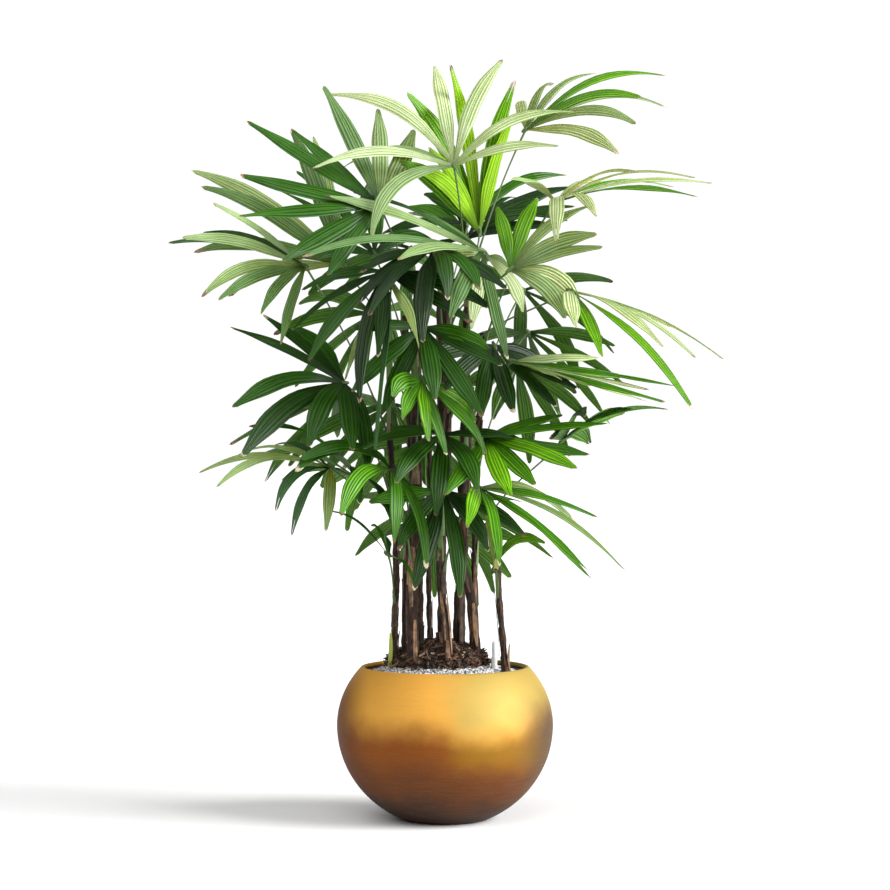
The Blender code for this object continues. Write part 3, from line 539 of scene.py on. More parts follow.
class Wire:
    """A socket in a material's nodes.  Arithmetic on it adds Math nodes, and node() adds any other kind."""

    def __init__(self, tree, socket=None):
        self.tree = tree
        self.socket = socket

    def node(self, kind, settings=None, values=None, out=0):
        """Add a node: its settings first, a ramp's stops among them, then its sockets' values or links."""
        node = self.tree.nodes.new(kind)
        for name, setting in (settings or {}).items():
            if name == "stops":
                ramp = node.color_ramp
                while len(ramp.elements) < len(setting):
                    ramp.elements.new(0.5)
                for element, (place, colour) in zip(ramp.elements, setting):
                    element.position = place
                    element.color = (*colour, 1.0)
            else:
                setattr(node, name, setting)
        for name, value in (values or {}).items():
            if isinstance(value, Wire):
                self.tree.links.new(value.socket, node.inputs[name])
            else:
                node.inputs[name].default_value = value
        return Wire(self.tree, node.outputs[out])

    def math(self, operation, first, second=0.0):
        return self.node("ShaderNodeMath", {"operation": operation}, {0: first, 1: second})

    def __add__(self, other):
        return self.math("ADD", self, other)

    __radd__ = __add__

    def __mul__(self, other):
        return self.math("MULTIPLY", self, other)

    __rmul__ = __mul__

    def __sub__(self, other):
        return self.math("SUBTRACT", self, other)

    def __rsub__(self, other):
        return self.math("SUBTRACT", other, self)

    def sine(self):
        return self.math("SINE", self)

    def between(self, low, high):
        """0 below low, 1 above high and smooth in between."""
        return self.node("ShaderNodeMapRange", {"interpolation_type": "SMOOTHSTEP"},
                         {0: self, 1: low, 2: high})

    def colour(self, dark, light):
        """A colour mixed from two by this value."""
        dark = dark if isinstance(dark, Wire) else (*dark, 1.0)
        light = light if isinstance(light, Wire) else (*light, 1.0)
        return self.node("ShaderNodeMix", {"data_type": "RGBA"}, {0: self, 6: dark, 7: light}, 2)

    def noise(self, place, scale, detail=3.0, roughness=0.55):
        return self.node("ShaderNodeTexNoise", None,
                         {"Vector": place, "Scale": scale, "Detail": detail, "Roughness": roughness})

    def grain(self, place, finenesses, detail, roughness=0.55):
        """Noise that is finer along some axes than along others."""
        drawn_out = self.node("ShaderNodeMapping", None, {"Vector": place, "Scale": finenesses})
        return self.noise(drawn_out, 1.0, detail, roughness)

    def bump(self, height, strength, distance):
        return self.node("ShaderNodeBump", None,
                         {"Height": height, "Strength": strength, "Distance": distance})


class Finish:
    """A material: its Principled shader and the start of its nodes."""

    def __init__(self, name, roughness, metallic=0.0, **constants):
        self.material = bpy.data.materials.new(name)
        self.material.use_nodes = True
        self.tree = self.material.node_tree
        self.shader = self.tree.nodes["Principled BSDF"]
        self.shader.inputs["Roughness"].default_value = roughness
        self.shader.inputs["Metallic"].default_value = metallic
        for label, value in constants.items():
            self.shader.inputs[label.replace("_", " ").title().replace("Ior", "IOR")].default_value = value
        self.wire = Wire(self.tree)
        self.place = self.wire.node("ShaderNodeTexCoord", out="Object")

    def feed(self, **wires):
        for label, wire in wires.items():
            self.tree.links.new(wire.socket, self.shader.inputs[label.replace("_", " ").title()])
        return self.material

    def map(self, name):
        """The two coordinates of the piece's own map."""
        flat = self.wire.node("ShaderNodeUVMap", {"uv_map": name}, out="UV")
        split = self.tree.nodes.new("ShaderNodeSeparateXYZ")
        self.tree.links.new(flat.socket, split.inputs[0])
        return Wire(self.tree, split.outputs[0]), Wire(self.tree, split.outputs[1])

    def along(self, axis):
        """One of the three coordinates of the place."""
        return self.wire.node("ShaderNodeSeparateXYZ", None, {0: self.place}, axis)

    def glowing(self, colour, share):
        """Let light through: mix in a Translucent shader, for a thin leaf against the light."""
        through_leaf = self.wire.node("ShaderNodeBsdfTranslucent", None, {"Color": (*colour, 1.0)})
        mix = self.wire.node("ShaderNodeMixShader", None, {"Fac": share})
        node = mix.socket.node
        self.tree.links.new(self.shader.outputs[0], node.inputs[1])
        self.tree.links.new(through_leaf.socket, node.inputs[2])
        self.tree.links.new(node.outputs[0], self.tree.nodes["Material Output"].inputs["Surface"])


def tinted(colour, factor):
    return tuple(min(c * factor, 1.0) for c in colour)


VEINS = 6
# How much of red, green and blue a groove's painted shade keeps, and how much more of each on a leaf with
# painted sheen
GROOVE_SHADE_KEEPS = ((0.20, 0.25), (0.33, 0.22), (0.15, 0.20))


def leaf_finish(name, colour, roughness=0.42, share=0.22):
    """Green blade: vein stripes along it with painted shade in the grooves and painted sheen on the ridges,
    painted shade at the root, light passing through.
    """
    painted_sheen = smooth(colour[0] / 0.4)
    leaf = Finish(name, roughness, specular_ior_level=0.35)
    wire = leaf.wire
    across, run = leaf.map("blade")
    vein = (across * (math.tau * VEINS)).sine() * 0.5 + 0.5
    mottle = wire.noise(leaf.place, 42.0)
    patch = wire.noise(leaf.place, 10.0, 1.0)
    # Vein stripes and random mottle: painted sheen on the ridges, painted shade in the grooves
    ridge_sheen_mask = (vein * 0.80 + mottle * 0.40 + patch * 0.50 - 0.40).between(0.0, 1.0)
    groove_shade = tuple(c * (kept + more * painted_sheen) for c, (kept, more) in zip(colour, GROOVE_SHADE_KEEPS))
    green = ridge_sheen_mask.colour(groove_shade, tinted(colour, 1.55))
    # Painted shade darkening the leaflet towards its root
    root_shade = (run + mottle * 0.10).between(0.02, 0.40).colour(tinted(groove_shade, 0.8), green)
    leaf.glowing((min(colour[0] * 2.6 + 0.03, 1), min(colour[1] * 1.8 + 0.06, 1), colour[2] * 0.5), share)
    return leaf.feed(
        base_color=root_shade, roughness=mottle * 0.24 + (roughness - 0.12),
        normal=wire.bump(vein, 0.6, 0.0008),
    )


def dry_finish(name, dark, light):
    """Papery dead tissue at the tips and along the sheaths."""
    dry = Finish(name, 0.8)
    wire = dry.wire
    streak = wire.grain(dry.place, (260.0, 260.0, 60.0), 4.0)
    return dry.feed(base_color=streak.between(0.3, 0.7).colour(dark, light),
                    normal=wire.bump(streak, 0.5, 0.0008))


def stem_finish(name, colour):
    """Smooth petiole, paler in streaks."""
    stem = Finish(name, 0.42)
    wire = stem.wire
    streak = wire.grain(stem.place, (300.0, 300.0, 30.0), 2.0)
    return stem.feed(base_color=streak.colour(tinted(colour, 0.6), tinted(colour, 1.4)),
                     normal=wire.bump(streak, 0.3, 0.0005))


def cane_finish():
    """Fibrous sheath: dark brown with rusty and tan threads that run up the cane."""
    cane = Finish("fibrous_sheath", 0.88)
    wire = cane.wire
    threads = wire.grain(cane.place, (420.0, 420.0, 34.0), 5.0, 0.65)
    weave = wire.grain(cane.place, (900.0, 900.0, 260.0), 3.0)
    patch = wire.noise(cane.place, 16.0, 2.0)
    brown = threads.between(0.38, 0.68).colour((0.005, 0.0025, 0.0015), (0.062, 0.028, 0.013))
    tan = (threads * 0.6 + patch * 0.6).between(0.64, 0.84).colour(brown, (0.20, 0.105, 0.050))
    return cane.feed(base_color=tan, roughness=weave * 0.2 + 0.78,
                     normal=wire.bump(threads * 0.7 + weave * 0.5, 0.9, 0.0016))


def split_finish(name, dark, light):
    """Old sheath split open: pale wood-coloured strip with fine grain."""
    strip = Finish(name, 0.7)
    wire = strip.wire
    grain = wire.grain(strip.place, (560.0, 560.0, 22.0), 4.0, 0.65)
    patch = wire.noise(strip.place, 70.0, 3.0)
    return strip.feed(base_color=(grain * 0.8 + patch * 0.6 - 0.2).between(0.34, 0.66).colour(dark, light),
                      normal=wire.bump(grain, 0.9, 0.0012))


def bark_finish(name, dark, light):
    """Crumbly bark or soil."""
    bark = Finish(name, 0.92)
    wire = bark.wire
    crumb = wire.noise(bark.place, 160.0, 4.0, 0.6)
    patch = wire.noise(bark.place, 28.0, 2.0)
    return bark.feed(base_color=(crumb * 0.6 + patch * 0.5).between(0.38, 0.72).colour(dark, light),
                     normal=wire.bump(crumb, 0.8, 0.002))


def stone_finish(name, dark, light, roughness):
    """Speckled gravel."""
    stone = Finish(name, roughness)
    wire = stone.wire
    speck = wire.noise(stone.place, 420.0, 4.0, 0.6)
    patch = wire.noise(stone.place, 120.0, 1.0)
    return stone.feed(base_color=(speck * 0.5 + patch * 0.6).between(0.35, 0.75).colour(dark, light),
                      roughness=speck * 0.3 + (roughness - 0.15), normal=wire.bump(speck, 0.6, 0.0008))


# The pot's lacquer, from its foot to its shoulders and at its two sides: painted shade darkens it towards the
# foot and at both edges, painted light brightens the shoulders and the right, with a pale painted highlight
POT_BROWN_SHADE = (0.028, 0.010, 0.004)
POT_RUST_SHADE = (0.110, 0.030, 0.004)
POT_AMBER_SHADE = (0.200, 0.052, 0.001)
POT_ORANGE_LIGHT = (0.660, 0.330, 0.048)
POT_OCHRE_LIGHT = (0.230, 0.105, 0.002)
POT_PALE_HIGHLIGHT = (0.400, 0.280, 0.062)
POT_TAUPE_SHADE = (0.080, 0.045, 0.020)
POT_BRUSHED = (0.30, 0.17, 0.06)


def gold_finish():
    """Brushed gold lacquer with painted light: painted shade gives the brown foot and amber waist, painted
    light the orange and pale gold shoulders, and painted shade both edges.
    """
    gold = Finish("gold_lacquer", 0.6, 0.30, specular_ior_level=0.25)
    wire = gold.wire
    cloud = wire.noise(gold.place, 6.0, 2.0, 0.5)
    patch = wire.noise(gold.place, 22.0, 3.0, 0.55)
    grain = wire.noise(gold.place, 260.0, 3.0, 0.6)
    brushed = wire.grain(gold.place, (26.0, 26.0, 620.0), 3.0)
    side, height = gold.along(0), gold.along(2)
    level = height + (cloud - 0.5) * 0.070 + (patch - 0.5) * 0.030
    reach = side + (cloud - 0.5) * 0.080 + (patch - 0.5) * 0.030
    # Painted shade: brown and rust towards the foot, amber at the waist
    low = level.between(0.020, 0.085).colour(POT_BROWN_SHADE, POT_RUST_SHADE)
    waist = level.between(0.085, 0.150).colour(low, POT_AMBER_SHADE)
    # Painted light: ochre on the right of the waist
    ochre_light = (reach.between(-0.020, 0.070) * level.between(0.095, 0.150)).colour(waist, POT_OCHRE_LIGHT)
    # Painted light: orange round the shoulders
    shoulder_light = level.between(0.150, 0.212).colour(ochre_light, POT_ORANGE_LIGHT)
    # Painted highlight: pale gold at the upper right of the shoulders
    pale = (reach.between(-0.030, 0.060) * level.between(0.165, 0.215)).colour(shoulder_light, POT_PALE_HIGHLIGHT)
    # Painted shade along the left edge in rust and along the lower right edge in taupe
    left = (0.0 - side).between(0.130, 0.200).colour(pale, POT_RUST_SHADE)
    edge = (side.between(0.115, 0.195) * (1.0 - level.between(0.170, 0.260))).colour(left, POT_TAUPE_SHADE)
    streak = (brushed * 0.6 + grain * 0.4).between(0.30, 0.72)
    lacquer = (streak * 0.16).colour(edge, streak.colour(edge, POT_BRUSHED))
    return gold.feed(base_color=lacquer, roughness=patch * 0.16 + grain * 0.10 + 0.50,
                     normal=wire.bump(grain * 0.3 + brushed * 0.5 + patch * 0.5, 0.14, 0.0010))


def liner_finish():
    """Black coated inner wall."""
    liner = Finish("black_liner", 0.55)
    speck = liner.wire.noise(liner.place, 300.0)
    return liner.feed(base_color=speck.colour((0.008, 0.008, 0.010), (0.022, 0.022, 0.026)),
                      normal=liner.wire.bump(speck, 0.3, 0.0005))


def clear_finish():
    """Milky clear plastic of the gauge."""
    clear = Finish("milky_plastic", 0.30, transmission_weight=0.35, ior=1.46)
    haze = clear.wire.noise(clear.place, 90.0)
    return clear.feed(base_color=haze.colour((0.90, 0.91, 0.92), (0.98, 0.98, 0.98)),
                      normal=clear.wire.bump(haze, 0.1, 0.0004))


def plain_finish(name, colour, roughness):
    """One colour with a faint speckle."""
    plain = Finish(name, roughness)
    speck = plain.wire.noise(plain.place, 200.0)
    return plain.feed(base_color=speck.colour(tinted(colour, 0.9), tinted(colour, 1.1)))


class Skin:
    """Points, faces, finishes and a flat map gathered from sheets and tubes, then made one mesh."""

    def __init__(self):
        self.points = []
        self.faces = []
        self.finishes = []
        self.wears = []
        self.map = []

    def finish(self, material):
        """Number of a material in the mesh."""
        if material not in self.finishes:
            self.finishes.append(material)
        return self.finishes.index(material)

    def sheet(self, grid, over, thickness, wear, under, drop=()):
        """A closed thin sheet from rows and columns of points, less the quads named in drop."""
        rows, columns = grid.shape[:2]
        base = len(self.points)
        lower = grid - over * thickness
        self.points += [tuple(p) for p in grid.reshape(-1, 3)] + [tuple(p) for p in lower.reshape(-1, 3)]
        count = rows * columns
        flat = [((j + 0.5) / columns, i / (rows - 1)) for i in range(rows) for j in range(columns)]
        self.map += flat + flat
        edges = {}
        for i in range(rows - 1):
            for j in range(columns - 1):
                if (i, j) in drop:
                    continue
                corner = i * columns + j
                quad = [corner, corner + 1, corner + columns + 1, corner + columns]
                top = wear(i, j)
                self.faces.append(tuple(base + q for q in quad))
                self.wears.append(self.finish(top))
                self.faces.append(tuple(base + count + q for q in quad[::-1]))
                self.wears.append(self.finish(under(i, j)))
                for a, b in zip(quad, quad[1:] + quad[:1]):
                    edges[(a, b)] = self.finish(top)
        for (a, b), material in edges.items():
            if (b, a) not in edges:
                self.faces.append((base + a, base + count + a, base + count + b, base + b))
                self.wears.append(material)

    def tube(self, points, radii, sides, material, relief=None, flat=1.0):
        """A closed round limb with a parallel frame along its line, and relief added to its radius."""
        base = len(self.points)
        wear = self.finish(material)
        ahead = (points[1] - points[0]).normalized()
        side = ahead.cross(FRONT).normalized() if abs(ahead.y) < 0.95 else ahead.cross(UP).normalized()
        run = 0.0
        for i, point in enumerate(points):
            if i:
                run += (point - points[i - 1]).length
                heading = points[min(i + 1, len(points) - 1)] - points[i - 1]
                turn = ahead.rotation_difference(heading.normalized())
                ahead = (turn @ ahead).normalized()
                side = turn @ side
            side = (side - ahead * side.dot(ahead)).normalized()
            up = ahead.cross(side)
            for k in range(sides):
                angle = math.tau * k / sides
                reach = radii[i] + (relief(run, angle) if relief else 0.0)
                spot = point + side * (math.cos(angle) * reach) + up * (math.sin(angle) * reach * flat)
                self.points.append(tuple(spot))
                self.map.append((k / sides, run))
        for i in range(len(points) - 1):
            low = base + i * sides
            for k in range(sides):
                n = (k + 1) % sides
                self.faces.append((low + k, low + n, low + sides + n, low + sides + k))
                self.wears.append(wear)
        last = base + (len(points) - 1) * sides
        self.faces.append(tuple(range(base, base + sides))[::-1])
        self.faces.append(tuple(range(last, last + sides)))
        self.wears += [wear, wear]

    def piece(self, name, slot, *nodes):
        """Make the mesh and show it."""
        mesh = bpy.data.meshes.new(name)
        mesh.from_pydata(self.points, [], self.faces)
        for material in self.finishes:
            mesh.materials.append(material)
        mesh.polygons.foreach_set("material_index", self.wears)
        corners = np.empty(len(mesh.loops), dtype=np.int32)
        mesh.loops.foreach_get("vertex_index", corners)
        layer = mesh.uv_layers.new(name="blade")
        layer.data.foreach_set("uv", np.array(self.map, dtype=np.float32)[corners].ravel())
        mesh.shade_smooth()
        mesh.set_sharp_from_angle(angle=math.radians(50))
        mesh.update()
        return shown(name, mesh, slot, *nodes)


def shown(name, mesh, slot, *nodes):
    """Put a finished mesh in the scene as a piece that stands for some nodes."""
    piece = bpy.data.objects.new(name, mesh)
    bpy.context.scene.collection.objects.link(piece)
    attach(piece, "root")
    if nodes:
        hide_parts(*nodes)
    return piece


def fine_width(run):
    """Share of a fine leaflet's full width: narrow root, straight sides and a narrow, rounded tip."""
    return np.array([LEAF_FULL * (LEAF_ROOT + (1 - LEAF_ROOT) * smooth(r / 0.40))
                     * (1 - LEAF_TIP * smooth((r - 0.64) / 0.38)) for r in run])


def leaflet(skin, frond, draw, path, length, chance, greens, looks):
    """One pleated blade with a toothed, browned and sometimes split tip."""
    steps = np.linspace(0.0, 1.0, PATH_STEPS + 1)
    line = np.array([[*p, *a, *a.cross(f).normalized()] for p, f, a in path])
    bites = [TIP_ROUNDING * place * place + chance.uniform(0.0, TOOTH) * (1 + k % 2)
             for k, place in enumerate(LEAF_COLUMNS)]
    split = chance.random() < SPLIT_CHANCE
    split_run = chance.uniform(*SPLIT_START)
    ribs = chance.uniform(0.6, 1.3) * RIB_HEIGHT
    phase = chance.uniform(0, math.tau)
    wave = chance.uniform(0.0004, 0.0016)
    runs = np.array([[run * (1 - bite) for bite in bites] for run in LEAF_RUNS])
    flat = runs.ravel()
    spots = np.stack([np.interp(flat, steps, line[:, k]) for k in range(9)], axis=1)
    point, across, over = spots[:, :3], spots[:, 3:6], spots[:, 6:]
    places = np.tile(LEAF_COLUMNS, len(LEAF_RUNS))
    if split:
        parting = np.clip((flat - split_run) / (1 - split_run), 0, 1) * SPLIT_GAPE
        places = places + np.sign(places) * parting * (1 - np.abs(places))
    half = 0.5 * frond.width * draw["width"] * fine_width(flat)
    pleat = np.tile(RIB_PATTERN, len(LEAF_RUNS)) * ribs * np.clip(half / RIB_FULL_AT, 0.25, 1.0)
    curl = -LEAF_ARCH * half * places ** 2 + wave * np.sin(flat * 11 + phase) * places
    grid = point + across * (half * places)[:, None] + over * (pleat + curl)[:, None]
    shape = (len(LEAF_RUNS), len(LEAF_COLUMNS), 3)
    middle = len(LEAF_COLUMNS) // 2 - 1
    drop = {(i, middle) for i, run in enumerate(LEAF_RUNS[:-1]) if split and run >= split_run}
    green = looks[chance.choice(greens)]
    dead = chance.choice(DEAD_SHARES)
    ragged = [chance.uniform(-0.35, 0.35) * dead for _ in LEAF_COLUMNS]
    tip = looks[chance.choice(TIP_LOOKS)]
    back = looks["leaf_back_pale" if green.name in SHEEN_SHADES else "leaf_back"]

    def wear(i, j):
        middle_run = 0.5 * (LEAF_RUNS[i] + LEAF_RUNS[i + 1])
        return tip if middle_run > 1 - dead + ragged[j] else green

    def under(i, j):
        return tip if wear(i, j) is tip else back

    skin.sheet(grid.reshape(shape), over.reshape(shape), LEAF_SHEET, wear, under, drop)


FROND_SEED = 700
PETIOLE_ROWS = 14
SHEATH_LENGTH = 0.048
# The knot where the leaflets start: distance past the hub along the frond's axis, and radius
KNOT = ((-0.010, 0.0020), (-0.003, 0.0042), (0.005, 0.0046), (0.011, 0.0022))


def fine_frond(number, frond, way, leaves, looks):
    """A petiole with its clasping sheath and a fan of leaflets."""
    chance = random.Random(FROND_SEED + number)
    skin = Skin()
    points = petiole_line(frond, *way, steps=PETIOLE_ROWS)[0]
    swell = [1.25 - 0.45 * smooth(i / 4) + 0.35 * smooth((i - 10) / 4) for i in range(len(points))]
    skin.tube(points, [PETIOLE_RADIUS * share for share in swell], 7, looks["petiole_green"], flat=0.8)
    knot = [Vector(frond.hub) + frond.axis * past for past, radius in KNOT]
    skin.tube(knot, [radius for past, radius in KNOT], 8, looks["petiole_green"], flat=0.55)
    clasp(skin, frond, way, points[0], chance, looks)
    for draw, path, length in leaves:
        leaflet(skin, frond, draw, path, length, chance, PALETTES[FROND_PALETTES[number]], looks)
    name = f"frond_{number + 1:02d}"
    skin.piece(name + "_leaves", "leaf_green", name)


SHEATH_SHEET = 0.0006
SHEATH_STEP = 0.052
CANE_SEED = 40
CANE_ROW = 0.0042
CANE_FACETS = 26
CANE_SUNK = 0.004
STRIP_SPACING = 0.07
# Looks of the clasping sheaths and of the loose strips, each named as often as it should come up
CLASP_LOOKS = ("sheath_green", "sheath_tan", "strip_brown")
STRIP_LOOKS = ("strip_tan", "strip_brown", "strip_brown", "strip_brown")


def wrap(skin, cane, low, high, angle, breadth, stand, rows, columns, material, lean=0.0):
    """A sheet round a cane: at each share of its height, breadth is its half angle and stand its lift."""
    grid = np.zeros((rows, columns, 3))
    over = np.zeros((rows, columns, 3))
    for i in range(rows):
        share = i / (rows - 1)
        centre, direction, radius = cane_at(cane, low + (high - low) * share)
        for j in range(columns):
            turn = angle + lean * share + breadth(share) * (2 * j / (columns - 1) - 1)
            out = Vector((math.cos(turn), math.sin(turn), 0.0))
            out = (out - direction * out.dot(direction)).normalized()
            grid[i, j] = centre + out * (radius + stand(share))
            over[i, j] = out
    skin.sheet(grid, over, SHEATH_SHEET, lambda i, j: material, lambda i, j: material)


def bowed(breadth, ends, start, span):
    """Half angle of a strip that narrows to both ends."""
    return lambda share: breadth * (ends + (1 - ends) * math.sin(math.pi * (start + span * share)))


def lifted(foot, lift, power):
    """Height off the cane of a strip whose top comes loose."""
    return lambda share: foot + lift * share ** power


def clasp(skin, frond, way, start, chance, looks):
    """The sheath at a petiole's foot, wrapped half round its cane."""
    height = frond.height + way[2]
    away = start - cane_at(frond.cane, height)[0]
    angle = math.atan2(away.y, away.x)
    top = min(height + 0.012, CANES[frond.cane].knots[-1][2] - 0.002)
    low = height - SHEATH_LENGTH * chance.uniform(0.8, 1.25)
    wrap(skin, frond.cane, low, top, angle, lambda share: 0.95 - 0.65 * share, lifted(0.0012, 0.0014, 1),
         7, 7, looks[chance.choice(CLASP_LOOKS)])


class Strip(NamedTuple):
    cane: int
    low: float
    high: float
    angle: float
    breadth: float
    lift: float
    look: str


# Sheath strips that the front view shows, angle in degrees round the cane with the front at -90
STRIPS = [
    Strip(0, 0.270, 0.345, -140, 0.70, 0.0010, "sheath_lime"),
    Strip(2, 0.395, 0.505, -100, 0.50, 0.0016, "strip_tan"),
    Strip(2, 0.275, 0.372, -70, 0.34, 0.0024, "strip_tan"),
    Strip(5, 0.335, 0.425, -110, 0.34, 0.0024, "strip_tan"),
    Strip(5, 0.280, 0.335, -85, 0.42, 0.0016, "strip_tan"),
    Strip(7, 0.320, 0.400, -70, 0.36, 0.0024, "strip_tan"),
    Strip(7, 0.420, 0.480, -80, 0.34, 0.0016, "strip_brown"),
    Strip(8, 0.380, 0.470, -90, 0.45, 0.0016, "strip_tan"),
    Strip(6, 0.300, 0.372, -60, 0.30, 0.0020, "strip_brown"),
    Strip(9, 0.275, 0.325, -10, 0.80, 0.0045, "strip_tan"),
    Strip(9, 0.410, 0.462, -120, 0.60, 0.0010, "sheath_green"),
]


def cane_skin(index, looks):
    """A cane in its fibre: overlapping sleeves with ragged mouths, diagonal threads and lumps."""
    chance = random.Random(CANE_SEED + index)
    skin = Skin()
    points, radii = cane_line(index, CANE_ROW)
    points = [points[0] - UP * CANE_SUNK] + points
    radii = [radii[0]] + radii
    top = points[-1].z
    offset = chance.uniform(0, 1)
    seed = Vector((index * 7.3, index * 3.1, 0.0))
    spin = chance.uniform(0, math.tau)

    def relief(run, angle):
        edge = 0.006 * math.sin(angle * 2 + spin) + 0.003 * math.sin(angle * 5 + spin * 3)
        phase = ((run + edge) / SHEATH_STEP + offset) % 1.0
        sleeve = 0.0013 * smooth(phase / 0.9) * (1 - smooth((phase - 0.94) / 0.06))
        place = Vector((math.cos(angle) * 1.4, math.sin(angle) * 1.4, run * 46)) + seed
        lump = noise.noise(place) * 0.0009
        thread = 0.00028 * math.sin(angle * 9 + run * 330 + spin) + 0.00028 * math.sin(angle * 7 - run * 290)
        return sleeve + lump + thread - 0.0004

    skin.tube(points, radii, CANE_FACETS, looks["cane"], relief)
    for _ in range(int((top - GROUND) / STRIP_SPACING)):
        low = chance.uniform(GROUND + 0.02, top - 0.10)
        high = min(low + chance.uniform(0.035, 0.11), top - 0.004)
        angle = chance.uniform(0, math.tau)
        lift = chance.uniform(0.0008, 0.0035)
        breadth = chance.uniform(0.16, 0.42)
        look = looks[chance.choice(STRIP_LOOKS)]
        wrap(skin, index, low, high, angle, bowed(breadth, 0.35, 0.12, 0.78), lifted(0.0016, lift, 3), 10, 4,
             look, chance.uniform(-0.5, 0.5))
    for strip in STRIPS:
        if strip.cane == index:
            wrap(skin, index, strip.low, strip.high, math.radians(strip.angle),
                 bowed(strip.breadth, 0.0, 0.15, 0.7), lifted(0.0018, strip.lift, 2), 12, 5,
                 looks[strip.look])
    return skin


STUMP_ROW = 0.004
STUMP_FACETS = 22


def stump_skin(looks):
    """The cane cut off short, in the same fibre."""
    skin = Skin()
    foot = Vector((*STUMP_FOOT, GROUND))
    points = [foot + UP * (STUMP_ROW * i) for i in range(int((STUMP_TOP - GROUND) / STUMP_ROW) + 1)]
    points[-1] = Vector((*STUMP_FOOT, STUMP_TOP - 0.001))

    def relief(run, angle):
        return 0.0006 * math.sin(angle * 7 + run * 260) + 0.0008 * noise.noise(Vector((angle, run * 60, 2)))

    skin.tube(points, [STUMP_RADIUS] * len(points), STUMP_FACETS, looks["cane"], relief)
    return skin


def woven(name, points, rows):
    """A smooth mesh between rows of point numbers, with triangles where a row is a single point."""
    faces = []
    for low, high in zip(rows, rows[1:]):
        for k in range(len(low) - 1):
            faces.append(tuple(dict.fromkeys((low[k], high[k], high[k + 1], low[k + 1]))))
    mesh = bpy.data.meshes.new(name)
    mesh.from_pydata(points, [], faces)
    mesh.update()
    mesh.shade_smooth()
    return mesh


def turned_mesh(name, profile, steps, ring=False):
    """A profile in the XZ plane turned round Z, one point at each pole.

    Its points and faces come in the same order each run, because that order places what is strewn on it.
    The profile runs down the outside, so the faces point out.
    """
    points = []
    rows = []
    for x, z in profile:
        turns = steps if x > 0 else 1
        rows.append([len(points) + k % turns for k in range(steps + 1)])
        for k in range(turns):
            angle = math.tau * k / steps
            points.append((x * math.cos(angle), x * math.sin(angle), z))
    return woven(name, points, rows + rows[:1] if ring else rows)


POT_STEPS = 144
LINER_DROP = 0.0004
LINER_WIDTH = 0.011
SHELL_ROWS = 44
INNER_START = 4
ROLL_STEPS = 8


def make_pot(looks):
    """Thin globe with a rolled rim, gold outside and over the rim, black inside."""
    angles = [FOOT_ANGLE + (RIM_ANGLE - FOOT_ANGLE) * i / SHELL_ROWS for i in range(SHELL_ROWS + 1)]
    outer = [outer_point(a) for a in angles]
    inner = [outer_point(a, WALL) for a in angles[INNER_START:]]
    centre = outer_point(RIM_ANGLE, WALL / 2)
    start = inner[-1] - centre
    rim = []
    for i in range(1, ROLL_STEPS):
        turn = -math.pi * i / ROLL_STEPS
        rim.append(centre + Vector((start.x * math.cos(turn) - start.y * math.sin(turn),
                                    start.x * math.sin(turn) + start.y * math.cos(turn))))
    floor = [Vector((0, FLOOR)), Vector((inner[0].x - 0.012, FLOOR))]
    points = floor + inner + rim + outer[::-1] + [Vector((0, 0))]
    mesh = turned_mesh("pot_shell", [(p.x, p.y) for p in points], POT_STEPS)
    mesh.materials.append(looks["gold"])
    mesh.materials.append(looks["liner"])
    lip = inner[-1].y - LINER_DROP
    for face in mesh.polygons:
        out = Vector((face.center.x, face.center.y, 0.0))
        inside = face.normal.dot(out) < 0 or (face.normal.z > 0.9 and face.center.z < 0.1)
        face.material_index = 1 if inside and face.center.z < lip else 0
    mesh.set_sharp_from_angle(angle=math.radians(40))
    shown("pot_shell", mesh, "gold_finish", "pot")


def make_liner(looks):
    """The black liner's rolled edge, a ring between the gravel and the pot's wall."""
    edge = outer_point(RIM_ANGLE, WALL)
    middle = edge.x - 0.5 * LINER_WIDTH
    half = 0.5 * LINER_WIDTH - GAP
    top = edge.y - LINER_DROP
    profile = [(middle - half, top - 0.014), (middle - half, top - 0.004),
               (middle - 0.4 * half, top - 0.0005), (middle + 0.4 * half, top),
               (middle + half, top - 0.002), (middle + half, top - 0.014)]
    ring = turned_mesh("liner_edge", profile, POT_STEPS, ring=True)
    ring.materials.append(looks["liner"])
    shown("liner_edge", ring, "gold_finish", "pot")


MARKS = 5
FIRST_MARK = 0.3065
MARK_STEP = 0.0042
MARK_HALF = 0.0004


def make_gauge(looks):
    """Clear tube with a wider foot and rings marked round it."""
    profile = [(0, GAUGE_TOP), (GAUGE_RADIUS * 0.7, GAUGE_TOP), (GAUGE_RADIUS, GAUGE_TOP - 0.0012),
               (GAUGE_RADIUS, GAUGE_FOOT_TOP + 0.001), (GAUGE_FOOT_RADIUS - 0.0006, GAUGE_FOOT_TOP),
               (GAUGE_FOOT_RADIUS, GAUGE_FOOT_TOP - 0.0008), (GAUGE_FOOT_RADIUS, GROUND), (0, GROUND)]
    tube = turned_mesh("gauge_tube", profile, 28)
    tube.materials.append(looks["clear"])
    tube.transform(Matrix.Translation((GAUGE_X, GAUGE_Y, 0)))
    tube.set_sharp_from_angle(angle=math.radians(40))
    shown("gauge_tube", tube, "clear_gauge", "water_gauge")
    skin = Skin()
    foot = Vector((GAUGE_X, GAUGE_Y, 0))
    for k in range(MARKS):
        level = FIRST_MARK + MARK_STEP * k
        ring = [foot + UP * (level - MARK_HALF), foot + UP * (level + MARK_HALF)]
        skin.tube(ring, [GAUGE_RADIUS + 0.00015] * 2, 20, looks["gauge_mark"])
    skin.piece("gauge_marks", "clear_gauge")


GRAVEL_STEPS = 96
GRAVEL_ROWS = 6
GRAVEL_UNEVEN = 0.002
GRAVEL_SUNK = 0.004
GRAVEL_DIP = 0.0035


